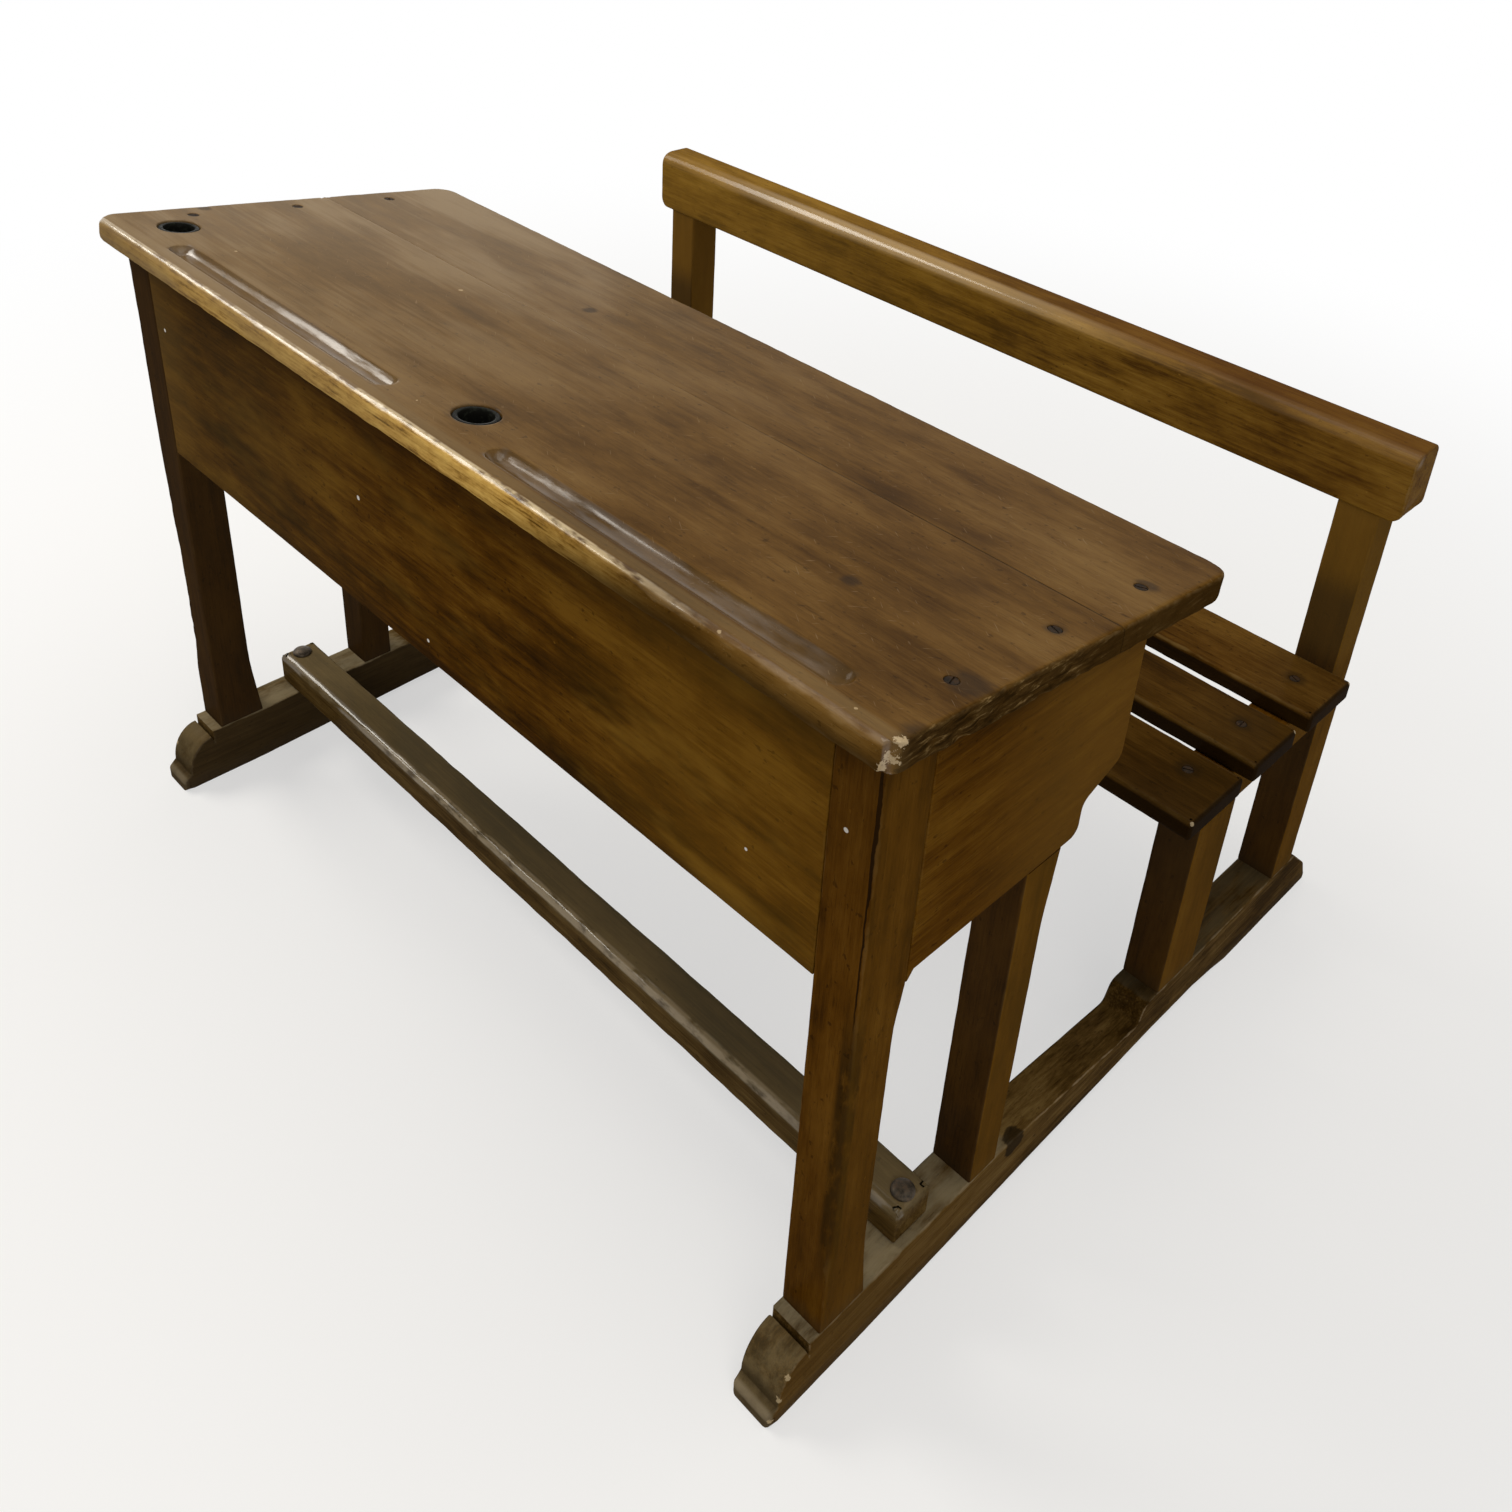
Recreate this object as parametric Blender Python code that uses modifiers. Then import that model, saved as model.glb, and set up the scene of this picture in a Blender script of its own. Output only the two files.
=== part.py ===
"""School desk for two pupils, with its bench on the same pair of runners.

Lengths are in metres. +Z is up, the floor is z = 0 and the desk is centred on x = 0 and y = 0.
The front is the desk's tall edge, on the -Y side. The bench is behind it, on the +Y side, and
left and right are those of someone who stands in front and looks along +Y.
"""
import math

import bmesh
import bpy
from mathutils import Matrix, Vector

# Side frames, left and right
frame_width = 0.946
frame_thickness = 0.040
frame_arris = 0.0015

# Desktop, a sloping top of two boards
desktop_end_overhang = 0.017
desktop_length = frame_width + 2 * desktop_end_overhang
desktop_depth = 0.380
desktop_thickness = 0.021
desktop_front_height = 0.640
desktop_fall = 0.050
desktop_rear_height = desktop_front_height - desktop_fall
desktop_front_overhang = 0.020
desktop_front_corner_radius = 0.025
desktop_rear_corner_radius = 0.022
desktop_edge_radius = 0.006
front_board_depth = 0.232

# Rear uprights of the desk
rear_upright_setback = 0.175
rear_upright_depth = 0.034
rear_upright_bracket_depth = 0.007
rear_upright_bracket_height = 0.070
rear_upright_bracket_radius = 0.150

# Bench posts and seat bearers
bench_rear_post_setback = 0.670
bench_rear_post_depth = 0.040
bench_post_spacing = 0.214
bench_front_post_setback = bench_rear_post_setback - bench_post_spacing
bench_front_post_depth = 0.061
bearer_height = 0.0417
bearer_nose_reach = 0.045
bearer_front = bench_front_post_setback - bearer_nose_reach
bearer_nose_height = 0.018
bearer_nose_radius = 0.004
bearer_taper_radius = 0.060

# Runners, with a moulded toe in front and a bevelled heel behind
toe_length = 0.049
runner_tail = 0.056
runner_length = toe_length + bench_rear_post_setback + bench_rear_post_depth + runner_tail
runner_height = 0.063
toe_strip_depth = 0.009
toe_strip_height = 0.013
toe_strip_radius = 0.004
ovolo_foot_height = 0.018
ovolo_top_height = 0.056
ovolo_setback = 0.0125
fillet_depth = 0.010
fillet_groove_height = 0.050
waist_start_lead = 0.013
waist_start = rear_upright_setback + rear_upright_depth + waist_start_lead
waist_end_lead = 0.028
waist_end = bench_front_post_setback - waist_end_lead
waist_rise = 0.009
waist_height = 0.041
waist_start_radius = 0.050
waist_end_radius = 0.006
waist_top_radius = 0.012
heel_length = 0.046
heel_shoulder_depth = 0.011
heel_shoulder_height = 0.030
heel_tip_height = 0.008
heel_radius = 0.006
hollow_start = 0.045
hollow_end_lead = 0.070
hollow_end = bench_rear_post_setback - hollow_end_lead
hollow_depth = 0.012
hollow_outline_shares = (
    (0.0, 0.0),
    (0.05, 0.5),
    (0.12, 0.92),
    (0.25, 1.0),
    (0.6, 0.62),
    (0.9, 0.16),
    (1.0, 0.0),
)

# Front legs
front_leg_depth = 0.041
front_leg_foot_depth = 0.048
front_leg_foot_height = 0.070
front_leg_foot_radius = 0.300
front_leg_head_depth = 0.047
front_leg_bracket_height = 0.045
front_leg_bracket_radius = 0.120

# Front panel between the legs
front_panel_thickness = 0.016
front_panel_bottom_height = 0.407

# End panels, flush with the outsides of the legs
end_panel_thickness = 0.018
end_panel_drop = 0.002
end_panel_bottom_height = front_panel_bottom_height - end_panel_drop
end_panel_rear = 0.278
end_panel_front_corner_drop = 0.008
end_panel_front_corner_depth = 0.006
end_panel_nose_depth = 0.019
end_panel_nose_height = 0.030
end_panel_nose_radius = 0.010
end_panel_step_rise = 0.018
end_panel_step_radius = 0.010
end_panel_rear_corner_radius = 0.012

# Tongues that hold the panels in the legs
tongue_thickness = 0.008
tongue_length = 0.010
tongue_shoulder = 0.020

# Book shelf under the desktop
shelf_thickness = 0.014
shelf_rise = 0.023
shelf_bottom_height = front_panel_bottom_height + shelf_rise
shelf_rear = 0.232
cleat_width = 0.018
cleat_height = 0.020
cleat_rear_setback = 0.006
front_cleat_end_gap = 0.004

# Foot bar across the runners
foot_bar_end_inset = 0.008
foot_bar_length = frame_width - 2 * foot_bar_end_inset
foot_bar_setback = 0.090
foot_bar_depth = 0.040
foot_bar_height = 0.036
foot_bar_radius = 0.005
bolt_head_radius = 0.010
bolt_head_height = 0.005
bolt_shank_radius = 0.004
bolt_end_clearance = 0.002
nut_radius = 0.0085
nut_thickness = 0.006
nut_recess_radius = 0.0105
nut_recess_depth = 0.011

# Seat slats
seat_height = 0.330
slat_end_overhang = 0.019
slat_length = frame_width + 2 * slat_end_overhang
slat_thickness = 0.020
slat_arris = 0.003
front_slat_overhang = 0.022
front_slat_setback = bearer_front - front_slat_overhang
front_slat_depth = 0.083
middle_slat_lead = 0.176
middle_slat_setback = bench_rear_post_setback - middle_slat_lead
middle_slat_depth = 0.071
rear_slat_depth = 0.077

# Backrest rail
backrest_end_overhang = 0.019
backrest_length = frame_width + 2 * backrest_end_overhang
backrest_top_height = 0.570
backrest_height = 0.068
backrest_depth = 0.045
backrest_front_proud = 0.002
backrest_front_radius = 0.014
backrest_rear_radius = 0.008
backrest_end_radius = 0.012

# Mortise and tenon joints
tenon_thickness = 0.014
tenon_shoulder = 0.006
runner_tenon_length = 0.034
bearer_tenon_length = 0.020
post_top_tenon_length = 0.022
backrest_tenon_length = 0.030

# Inkwells, one for each pupil, and the holes they hang in
left_inkwell_inset = 0.056
right_inkwell_offset = 0.034
inkwell_centres_x = (left_inkwell_inset - desktop_length / 2, right_inkwell_offset)
inkwell_setback = 0.035
inkwell_recess_radius = 0.0185
inkwell_recess_depth = 0.0042
inkwell_flange_radius = 0.0180
inkwell_flange_thickness = 0.003
inkwell_bore_radius = 0.0160
inkwell_body_radius = 0.0155
inkwell_foot_radius = 0.0130
inkwell_height = 0.036
inkwell_wall = 0.0022
inkwell_floor = 0.004
inkwell_lip = 0.0008
inkwell_foot_clearance = 0.003

# Pen grooves beside the inkwells
pen_groove_gaps = (0.049, 0.054)
pen_groove_length = 0.345
pen_groove_setback = 0.010
pen_groove_width = 0.022
pen_groove_depth = 0.007

# Countersunk wood screws
screw_head_radius = 0.0048
screw_head_depth = 0.0028
screw_head_rim = 0.0004
screw_shank_radius = 0.0021
screw_tip_length = 0.006
screw_slot_width = 0.0012
screw_slot_depth = 0.0012
screw_sink = 0.0004
desktop_screw_length = 0.045
seat_screw_length = 0.035
backrest_screw_length = 0.032
cleat_screw_length = 0.030
desktop_screw_setbacks = (0.063, 0.168, 0.270)
front_slat_screw_inset = 0.056
front_slat_screw_setback = front_slat_setback + front_slat_screw_inset
middle_slat_screw_inset = 0.041
middle_slat_screw_setback = middle_slat_setback + middle_slat_screw_inset
rear_slat_screw_lead = 0.037
rear_slat_screw_setback = bench_rear_post_setback - rear_slat_screw_lead
backrest_screw_height = 0.011
front_cleat_screw_setback = 0.030

# Clearance between pieces that touch, and how far a cut runs past a face
joint_gap = 0.0003
overrun = 0.004

# Facets and merging
arc_steps = 6
edge_facets = 3
turning_steps = 20
screw_turning_steps = 12
nut_sides = 6
weld_distance = 0.00001
merge_distance = 0.00005
flat_angle = math.radians(1)
smooth_angle = math.radians(40)
arris_angle = math.radians(30)

# Turn of each screw's slot from the one before it
slot_turn_step = math.radians(50)

# Colours and surfaces
desktop_colour = (0.205, 0.125, 0.062)
board_colour = (0.160, 0.082, 0.032)
frame_colour = (0.110, 0.058, 0.024)
worn_colour = (0.150, 0.108, 0.066)
backrest_colour = (0.215, 0.115, 0.042)
slat_colour = (0.135, 0.074, 0.032)
inside_colour = (0.120, 0.078, 0.045)
steel_colour = (0.060, 0.052, 0.045)
glaze_colour = (0.010, 0.012, 0.012)
wood_roughness = 0.45
inside_roughness = 0.75
steel_roughness = 0.40
glaze_roughness = 0.12

# Places that follow from the sizes
slope = math.asin((desktop_front_height - desktop_rear_height) / desktop_depth)
leg_front_y = toe_length - runner_length / 2
runner_rear = runner_length - toe_length
frame_outer_x = frame_width / 2
frame_inner_x = frame_outer_x - frame_thickness
frame_centre_x = frame_outer_x - frame_thickness / 2
end_panel_inner_x = frame_outer_x - end_panel_thickness
end_panel_centre_x = frame_outer_x - end_panel_thickness / 2
post_bottom_height = runner_height + joint_gap
slat_bottom_height = seat_height - slat_thickness
bearer_top_height = slat_bottom_height - joint_gap
bearer_bottom_height = bearer_top_height - bearer_height
bearer_rear = bench_rear_post_setback - joint_gap
backrest_bottom_height = backrest_top_height - backrest_height
foot_bar_bottom_height = runner_height + joint_gap
foot_bar_top_height = foot_bar_bottom_height + foot_bar_height
cleat_top_height = shelf_bottom_height - joint_gap
cleat_bottom_height = cleat_top_height - cleat_height
shelf_front = front_panel_thickness + joint_gap

# Rotation that stands a flat outline up: its x runs along world +Y and its y along +Z
side_on = (math.pi / 2, 0, math.pi / 2)
sides = (("left", -1), ("right", 1))


def clear_scene():
    """Remove every object that the file starts with."""
    for item in list(bpy.data.objects):
        bpy.data.objects.remove(item)


def make_collection(name):
    """New collection, linked to the scene."""
    collection = bpy.data.collections.new(name)
    bpy.context.scene.collection.children.link(collection)
    return collection


clear_scene()
parts = make_collection("school_desk")
cutters = make_collection("cutters")


def behind(distance):
    """World y of a place that far behind the front faces of the front legs."""
    return leg_front_y + distance


def along_slope(distance):
    """Way down the desktop's slope to the place that far behind the legs' front faces."""
    return (distance + desktop_front_overhang) / math.cos(slope)


def underside(distance):
    """Height of the desktop's lower face, less a gap, that far behind the legs' front faces."""
    drop = (distance + desktop_front_overhang) * math.tan(slope)
    return desktop_front_height - drop - desktop_thickness / math.cos(slope) - joint_gap


def as_cutter(item):
    """Put a helper solid with the cutters, drawn as a wire and left out of renders."""
    for collection in list(item.users_collection):
        collection.objects.unlink(item)
    cutters.objects.link(item)
    item.hide_render = True
    item.display_type = "WIRE"
    return item


def finish(item, colour, roughness, metallic=0):
    """Give a piece its own material."""
    material = bpy.data.materials.new(item.name)
    material.use_nodes = True
    surface = material.node_tree.nodes["Principled BSDF"]
    surface.inputs["Base Color"].default_value = (*colour, 1)
    surface.inputs["Roughness"].default_value = roughness
    surface.inputs["Metallic"].default_value = metallic
    item.data.materials.clear()
    item.data.materials.append(material)
    return item


def new_piece(name, mesh, location=(0, 0, 0), rotation=(0, 0, 0), parent=None):
    """Object for a mesh, in the desk's collection."""
    item = bpy.data.objects.new(name, mesh)
    item.location = location
    item.rotation_euler = rotation
    item.parent = parent
    parts.objects.link(item)
    return item


def box(name, low, high):
    """Block between two opposite corners."""
    low = Vector(low)
    high = Vector(high)
    mesh = bpy.data.meshes.new(name)
    shape = bmesh.new()
    bmesh.ops.create_cube(shape, size=1, matrix=Matrix.Diagonal((*(high - low), 1)))
    shape.to_mesh(mesh)
    shape.free()
    return new_piece(name, mesh, location=(low + high) / 2)


def rounded_outline(corners):
    """Points round an outline. Each corner is (x, y, radius), and a radius rounds it by an arc."""
    points = []
    for index, (x, y, radius) in enumerate(corners):
        here = Vector((x, y))
        if not radius:
            points.append(here)
            continue
        before = Vector(corners[index - 1][:2])
        after = Vector(corners[(index + 1) % len(corners)][:2])
        to_before = (before - here).normalized()
        to_after = (after - here).normalized()
        half_angle = to_before.angle(to_after) / 2
        centre = here + (to_before + to_after).normalized() * radius / math.sin(half_angle)
        first = here + to_before * radius / math.tan(half_angle) - centre
        last = here + to_after * radius / math.tan(half_angle) - centre
        for step in range(arc_steps + 1):
            spoke = first.slerp(last, step / arc_steps).normalized()
            points.append(centre + spoke * radius)
    return points


def plate(name, outline, thickness, location=(0, 0, 0), rotation=side_on, parent=None):
    """Flat piece: a filled outline with a thickness, made a mesh with whole faces."""
    curve = bpy.data.curves.new(name, "CURVE")
    curve.dimensions = "2D"
    curve.fill_mode = "BOTH"
    curve.extrude = thickness / 2
    spline = curve.splines.new("POLY")
    spline.points.add(len(outline) - 1)
    for point, place in zip(spline.points, outline):
        point.co = (place[0], place[1], 0, 1)
    spline.use_cyclic_u = True
    guide = bpy.data.objects.new(name, curve)
    parts.objects.link(guide)
    graph = bpy.context.evaluated_depsgraph_get()
    mesh = bpy.data.meshes.new_from_object(guide.evaluated_get(graph))
    bpy.data.objects.remove(guide)
    shape = bmesh.new()
    shape.from_mesh(mesh)
    bmesh.ops.remove_doubles(shape, verts=shape.verts, dist=weld_distance)
    bmesh.ops.dissolve_limit(shape, angle_limit=flat_angle, verts=shape.verts, edges=shape.edges)
    bmesh.ops.recalc_face_normals(shape, faces=shape.faces)
    shape.to_mesh(mesh)
    shape.free()
    mesh.name = name
    return new_piece(name, mesh, location, rotation, parent)


def soften(item, radius, segments=1, wanted=None):
    """Round the arrises of a piece, all of them or those whose two ends pass a test."""
    shape = bmesh.new()
    shape.from_mesh(item.data)
    edges = []
    for edge in shape.edges:
        if edge.calc_face_angle(0) < arris_angle:
            continue
        if wanted is None or wanted(edge.verts[0].co, edge.verts[1].co):
            edges.append(edge)
    bmesh.ops.bevel(
        shape, geom=edges, offset=radius, segments=segments, profile=0.5, affect="EDGES", clamp_overlap=True
    )
    shape.to_mesh(item.data)
    shape.free()
    return item


def between_heights(low, high):
    """Test for soften on a flat piece: the edge isn't in either end of the piece."""
    def wanted(start, end):
        in_low_end = max(start.y, end.y) < low + weld_distance
        in_high_end = min(start.y, end.y) > high - weld_distance
        return not in_low_end and not in_high_end
    return wanted


def combine(item, tool, operation):
    """Cut a tool away from a piece, or add it to the piece."""
    step = item.modifiers.new(tool.name, "BOOLEAN")
    step.operation = operation
    step.solver = "EXACT"
    step.object = tool


def cut(item, tool):
    """Cut a tool away from a piece."""
    combine(item, tool, "DIFFERENCE")


def add(item, tool):
    """Make a tool part of a piece."""
    combine(item, tool, "UNION")


def tenon_joint(stem, host, name, low, high, back):
    """Tenon on the stem in a mortise in the host. back points from the host to the stem."""
    low = Vector(low)
    high = Vector(high)
    reach = Vector(back) * overrun
    reach_low = Vector([min(value, 0) for value in reach])
    reach_high = Vector([max(value, 0) for value in reach])
    spare = Vector((joint_gap, joint_gap, joint_gap))
    tenon = as_cutter(box(name + "_tenon", low + reach_low, high + reach_high))
    mortise = as_cutter(box(name + "_mortise", low - spare + reach_low, high + spare + reach_high))
    add(stem, tenon)
    cut(host, mortise)


def turned(name, profile, steps=turning_steps, location=(0, 0, 0), rotation=(0, 0, 0), parent=None):
    """Round piece: (radius, height) pairs that run down its outside, turned about its Z axis."""
    mesh = bpy.data.meshes.new(name)
    points = [(radius, 0, height) for radius, height in profile]
    links = [(index, index + 1) for index in range(len(profile) - 1)]
    mesh.from_pydata(points, links, [])
    item = new_piece(name, mesh, location, rotation, parent)
    turning = item.modifiers.new("turning", "SCREW")
    turning.steps = steps
    turning.render_steps = steps
    turning.use_merge_vertices = True
    turning.merge_threshold = merge_distance
    turning.use_smooth_shade = True
    return item


def screw_profile(length, spare=0, head_overrun=0):
    """Outside of a countersunk screw, or of its hole, whose head lies at height zero."""
    head = screw_head_radius + spare
    shank = screw_shank_radius + spare
    head_foot = screw_head_rim + screw_head_depth
    return (
        (0, head_overrun),
        (head, head_overrun),
        (head, -screw_head_rim - spare),
        (shank, -head_foot - spare),
        (shank, -length + screw_tip_length),
        (0, -length - spare),
    )


def screw_mesh(name, length):
    """Mesh of a slotted screw, which all the screws of its length share."""
    blank = turned(name + "_blank", screw_profile(length), screw_turning_steps)
    slot = as_cutter(box(
        name + "_slot",
        (-screw_head_radius - overrun, -screw_slot_width / 2, -screw_slot_depth),
        (screw_head_radius + overrun, screw_slot_width / 2, overrun),
    ))
    cut(blank, slot)
    graph = bpy.context.evaluated_depsgraph_get()
    mesh = bpy.data.meshes.new_from_object(blank.evaluated_get(graph))
    mesh.name = name
    mesh.shade_smooth()
    mesh.set_sharp_from_angle(angle=smooth_angle)
    bpy.data.objects.remove(blank)
    bpy.data.objects.remove(slot)
    return mesh


def fasten(name, mesh, length, place, rotation, pieces, parent=None, slot_turn=0):
    """Screw with its head at a place, and the hole for it in each piece it goes through."""
    spin = Matrix.Rotation(rotation[1], 3, "Y") @ Matrix.Rotation(rotation[0], 3, "X")
    facing = (spin @ Matrix.Rotation(slot_turn, 3, "Z")).to_euler()
    head = Vector(place) - spin @ Vector((0, 0, screw_sink))
    screw = new_piece(name, mesh.copy(), head, facing, parent)
    finish(screw, steel_colour, steel_roughness, metallic=1)
    hole = as_cutter(turned(
        name + "_hole",
        screw_profile(length, joint_gap, overrun),
        screw_turning_steps,
        head,
        spin.to_euler(),
        parent,
    ))
    for piece in pieces:
        cut(piece, hole)


def make_slope():
    """Empty in the desktop's top face, at the middle of its tall edge, with +Y down the slope."""
    slope_frame = bpy.data.objects.new("desktop_slope", None)
    slope_frame.location = (0, behind(-desktop_front_overhang), desktop_front_height)
    slope_frame.rotation_euler = (-slope, 0, 0)
    parts.objects.link(slope_frame)
    return slope_frame


def make_desktop_boards(slope_frame):
    """The two boards of the top, glued edge to edge, with rounded outer corners."""
    half = desktop_length / 2
    seam = front_board_depth
    rear_board_start = seam + joint_gap
    front_outline = rounded_outline((
        (-half, 0, desktop_front_corner_radius),
        (half, 0, desktop_front_corner_radius),
        (half, seam, 0),
        (-half, seam, 0),
    ))
    rear_outline = rounded_outline((
        (-half, rear_board_start, 0),
        (half, rear_board_start, 0),
        (half, desktop_depth, desktop_rear_corner_radius),
        (-half, desktop_depth, desktop_rear_corner_radius),
    ))
    place = (0, 0, -desktop_thickness / 2)

    def outer_edge(start, end):
        middle = (start.y + end.y) / 2
        on_seam = seam - weld_distance < middle < rear_board_start + weld_distance
        return not on_seam and abs(start.z - end.z) < weld_distance

    boards = []
    for name, outline in (("desktop_front_board", front_outline), ("desktop_rear_board", rear_outline)):
        board = plate(name, outline, desktop_thickness, place, (0, 0, 0), slope_frame)
        soften(board, desktop_edge_radius, edge_facets, outer_edge)
        boards.append(finish(board, desktop_colour, wood_roughness))
    return boards


def cut_pen_grooves(board, slope_frame):
    """Two troughs with round ends along the tall edge, cut by a long capsule."""
    half_width = pen_groove_width / 2
    radius = (half_width ** 2 + pen_groove_depth ** 2) / (2 * pen_groove_depth)
    end_inset = half_width
    quarter = [math.pi / 2 * step / arc_steps for step in range(arc_steps + 1)]
    half_length = pen_groove_length / 2
    cap = [
        (radius * math.sin(turn), half_length - end_inset + end_inset * math.cos(turn))
        for turn in quarter
    ]
    profile = cap + [(reach, -height) for reach, height in reversed(cap)]
    y = along_slope(pen_groove_setback)
    for (word, side), inkwell_x, gap in zip(sides, inkwell_centres_x, pen_groove_gaps):
        place = (inkwell_x + gap + half_length, y, radius - pen_groove_depth)
        trough = turned(
            "pen_groove_" + word, profile, turning_steps, place, (0, math.pi / 2, 0), slope_frame
        )
        cut(board, as_cutter(trough))


def make_inkwells(board, left_leg, slope_frame):
    """A glazed cup for each pupil. It hangs by its flange in a stepped hole and lifts straight out.

    The left-hand hole reaches over the left front leg, so the leg's head is bored out with it.
    """
    ledge = -inkwell_recess_depth
    flange_bottom = ledge + joint_gap
    flange_top = flange_bottom + inkwell_flange_thickness
    foot = flange_top - inkwell_height
    cup_profile = (
        (0, foot + inkwell_floor),
        (inkwell_foot_radius - inkwell_wall, foot + inkwell_floor),
        (inkwell_body_radius - inkwell_wall, flange_top - inkwell_lip),
        (inkwell_body_radius - inkwell_wall + inkwell_lip, flange_top),
        (inkwell_flange_radius - inkwell_lip, flange_top),
        (inkwell_flange_radius, flange_top - inkwell_lip),
        (inkwell_flange_radius, flange_bottom),
        (inkwell_body_radius, flange_bottom),
        (inkwell_foot_radius, foot),
        (0, foot),
    )
    hole_profile = (
        (0, overrun),
        (inkwell_recess_radius, overrun),
        (inkwell_recess_radius, ledge),
        (inkwell_bore_radius, ledge),
        (inkwell_bore_radius, foot - inkwell_foot_clearance),
        (0, foot - inkwell_foot_clearance),
    )
    for word, x in zip(("left", "right"), inkwell_centres_x):
        place = (x, along_slope(inkwell_setback), 0)
        cup = turned("inkwell_" + word, cup_profile, turning_steps, place, parent=slope_frame)
        finish(cup, glaze_colour, glaze_roughness)
        hole = as_cutter(turned(cup.name + "_hole", hole_profile, turning_steps, place, parent=slope_frame))
        cut(board, hole)
        if word == "left":
            cut(left_leg, hole)


def ovolo_points():
    """Quarter round on the toe, from its foot up to the groove."""
    reach = toe_length - toe_strip_depth - ovolo_setback
    rise = ovolo_top_height - ovolo_foot_height
    points = []
    for step in range(arc_steps + 1):
        turn = math.pi / 2 * (1 - step / arc_steps)
        points.append((-ovolo_setback - reach * math.sin(turn), ovolo_foot_height + rise * math.cos(turn), 0))
    return points


def hollow_points():
    """Shallow hollow under a runner, from behind to the front."""
    length = hollow_end - hollow_start
    points = [
        (hollow_start + length * along, hollow_depth * rise, 0)
        for along, rise in hollow_outline_shares
    ]
    return list(reversed(points))


def make_runner(word, side):
    """Foot rail of a side frame, with a moulded toe, a waist between desk and bench, and a heel."""
    corners = [
        (-toe_length, 0, 0),
        (-toe_length, toe_strip_height, toe_strip_radius),
        *ovolo_points(),
        (-fillet_depth, fillet_groove_height, 0),
        (-fillet_depth, runner_height, 0),
        (waist_start, runner_height, waist_start_radius),
        (waist_end, waist_height, waist_end_radius),
        (waist_end + waist_rise, runner_height, waist_top_radius),
        (runner_rear - heel_length, runner_height, heel_radius),
        (runner_rear - heel_shoulder_depth, heel_shoulder_height, heel_radius),
        (runner_rear, heel_tip_height, heel_radius),
        (runner_rear, 0, 0),
        *hollow_points(),
    ]
    place = (side * frame_centre_x, leg_front_y, 0)
    runner = plate("runner_" + word, rounded_outline(corners), frame_thickness, place)

    def underneath(point):
        in_hollow = hollow_start < point.x < hollow_end and point.y < hollow_depth + weld_distance
        return in_hollow or point.y < weld_distance

    def above_floor(start, end):
        return not (underneath(start) and underneath(end))

    soften(runner, frame_arris, 1, above_floor)
    return finish(runner, frame_colour, wood_roughness)


def make_front_leg(word, side, runner):
    """Front leg: flared at the foot, and bracketed at the head where the end panel starts."""
    bracket_start = end_panel_bottom_height - front_leg_bracket_height
    corners = (
        (0, post_bottom_height, 0),
        (front_leg_foot_depth, post_bottom_height, 0),
        (front_leg_depth, post_bottom_height + front_leg_foot_height, front_leg_foot_radius),
        (front_leg_depth, bracket_start, front_leg_bracket_radius),
        (front_leg_head_depth, end_panel_bottom_height - end_panel_front_corner_drop, 0),
        (front_leg_head_depth, underside(front_leg_head_depth), 0),
        (0, underside(0), 0),
    )
    place = (side * frame_centre_x, leg_front_y, 0)
    leg = plate("front_leg_" + word, rounded_outline(corners), frame_thickness, place)
    soften(leg, frame_arris, 1, between_heights(post_bottom_height, underside(front_leg_head_depth)))
    tenon_low = side * frame_centre_x - tenon_thickness / 2
    tenon_high = side * frame_centre_x + tenon_thickness / 2
    tenon_joint(
        leg, runner, leg.name,
        (tenon_low, behind(tenon_shoulder), runner_height - runner_tenon_length),
        (tenon_high, behind(front_leg_depth - tenon_shoulder), runner_height),
        (0, 0, 1),
    )
    return finish(leg, frame_colour, wood_roughness)


def make_rear_upright(word, side, runner):
    """Rear upright of the desk. Its outer half is cut back above the shoulder for the end panel."""
    front = rear_upright_setback
    rear = front + rear_upright_depth
    head_rear = rear + rear_upright_bracket_depth
    shoulder = end_panel_bottom_height - joint_gap
    corners = (
        (front, post_bottom_height, 0),
        (rear, post_bottom_height, 0),
        (rear, end_panel_bottom_height - rear_upright_bracket_height, rear_upright_bracket_radius),
        (head_rear, shoulder, 0),
        (head_rear, underside(head_rear), 0),
        (front, underside(front), 0),
    )
    place = (side * frame_centre_x, leg_front_y, 0)
    upright = plate("rear_upright_" + word, rounded_outline(corners), frame_thickness, place)
    soften(upright, frame_arris, 1, between_heights(post_bottom_height, underside(head_rear)))
    near = side * (end_panel_inner_x - joint_gap)
    far = side * (frame_outer_x + overrun)
    rebate = as_cutter(box(
        upright.name + "_rebate",
        (min(near, far), behind(front - overrun), shoulder),
        (max(near, far), behind(head_rear + overrun), underside(front) + overrun),
    ))
    cut(upright, rebate)
    tenon_low = side * frame_centre_x - tenon_thickness / 2
    tenon_high = side * frame_centre_x + tenon_thickness / 2
    tenon_joint(
        upright, runner, upright.name,
        (tenon_low, behind(front + tenon_shoulder), runner_height - runner_tenon_length),
        (tenon_high, behind(rear - tenon_shoulder), runner_height),
        (0, 0, 1),
    )
    return finish(upright, frame_colour, wood_roughness)


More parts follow.
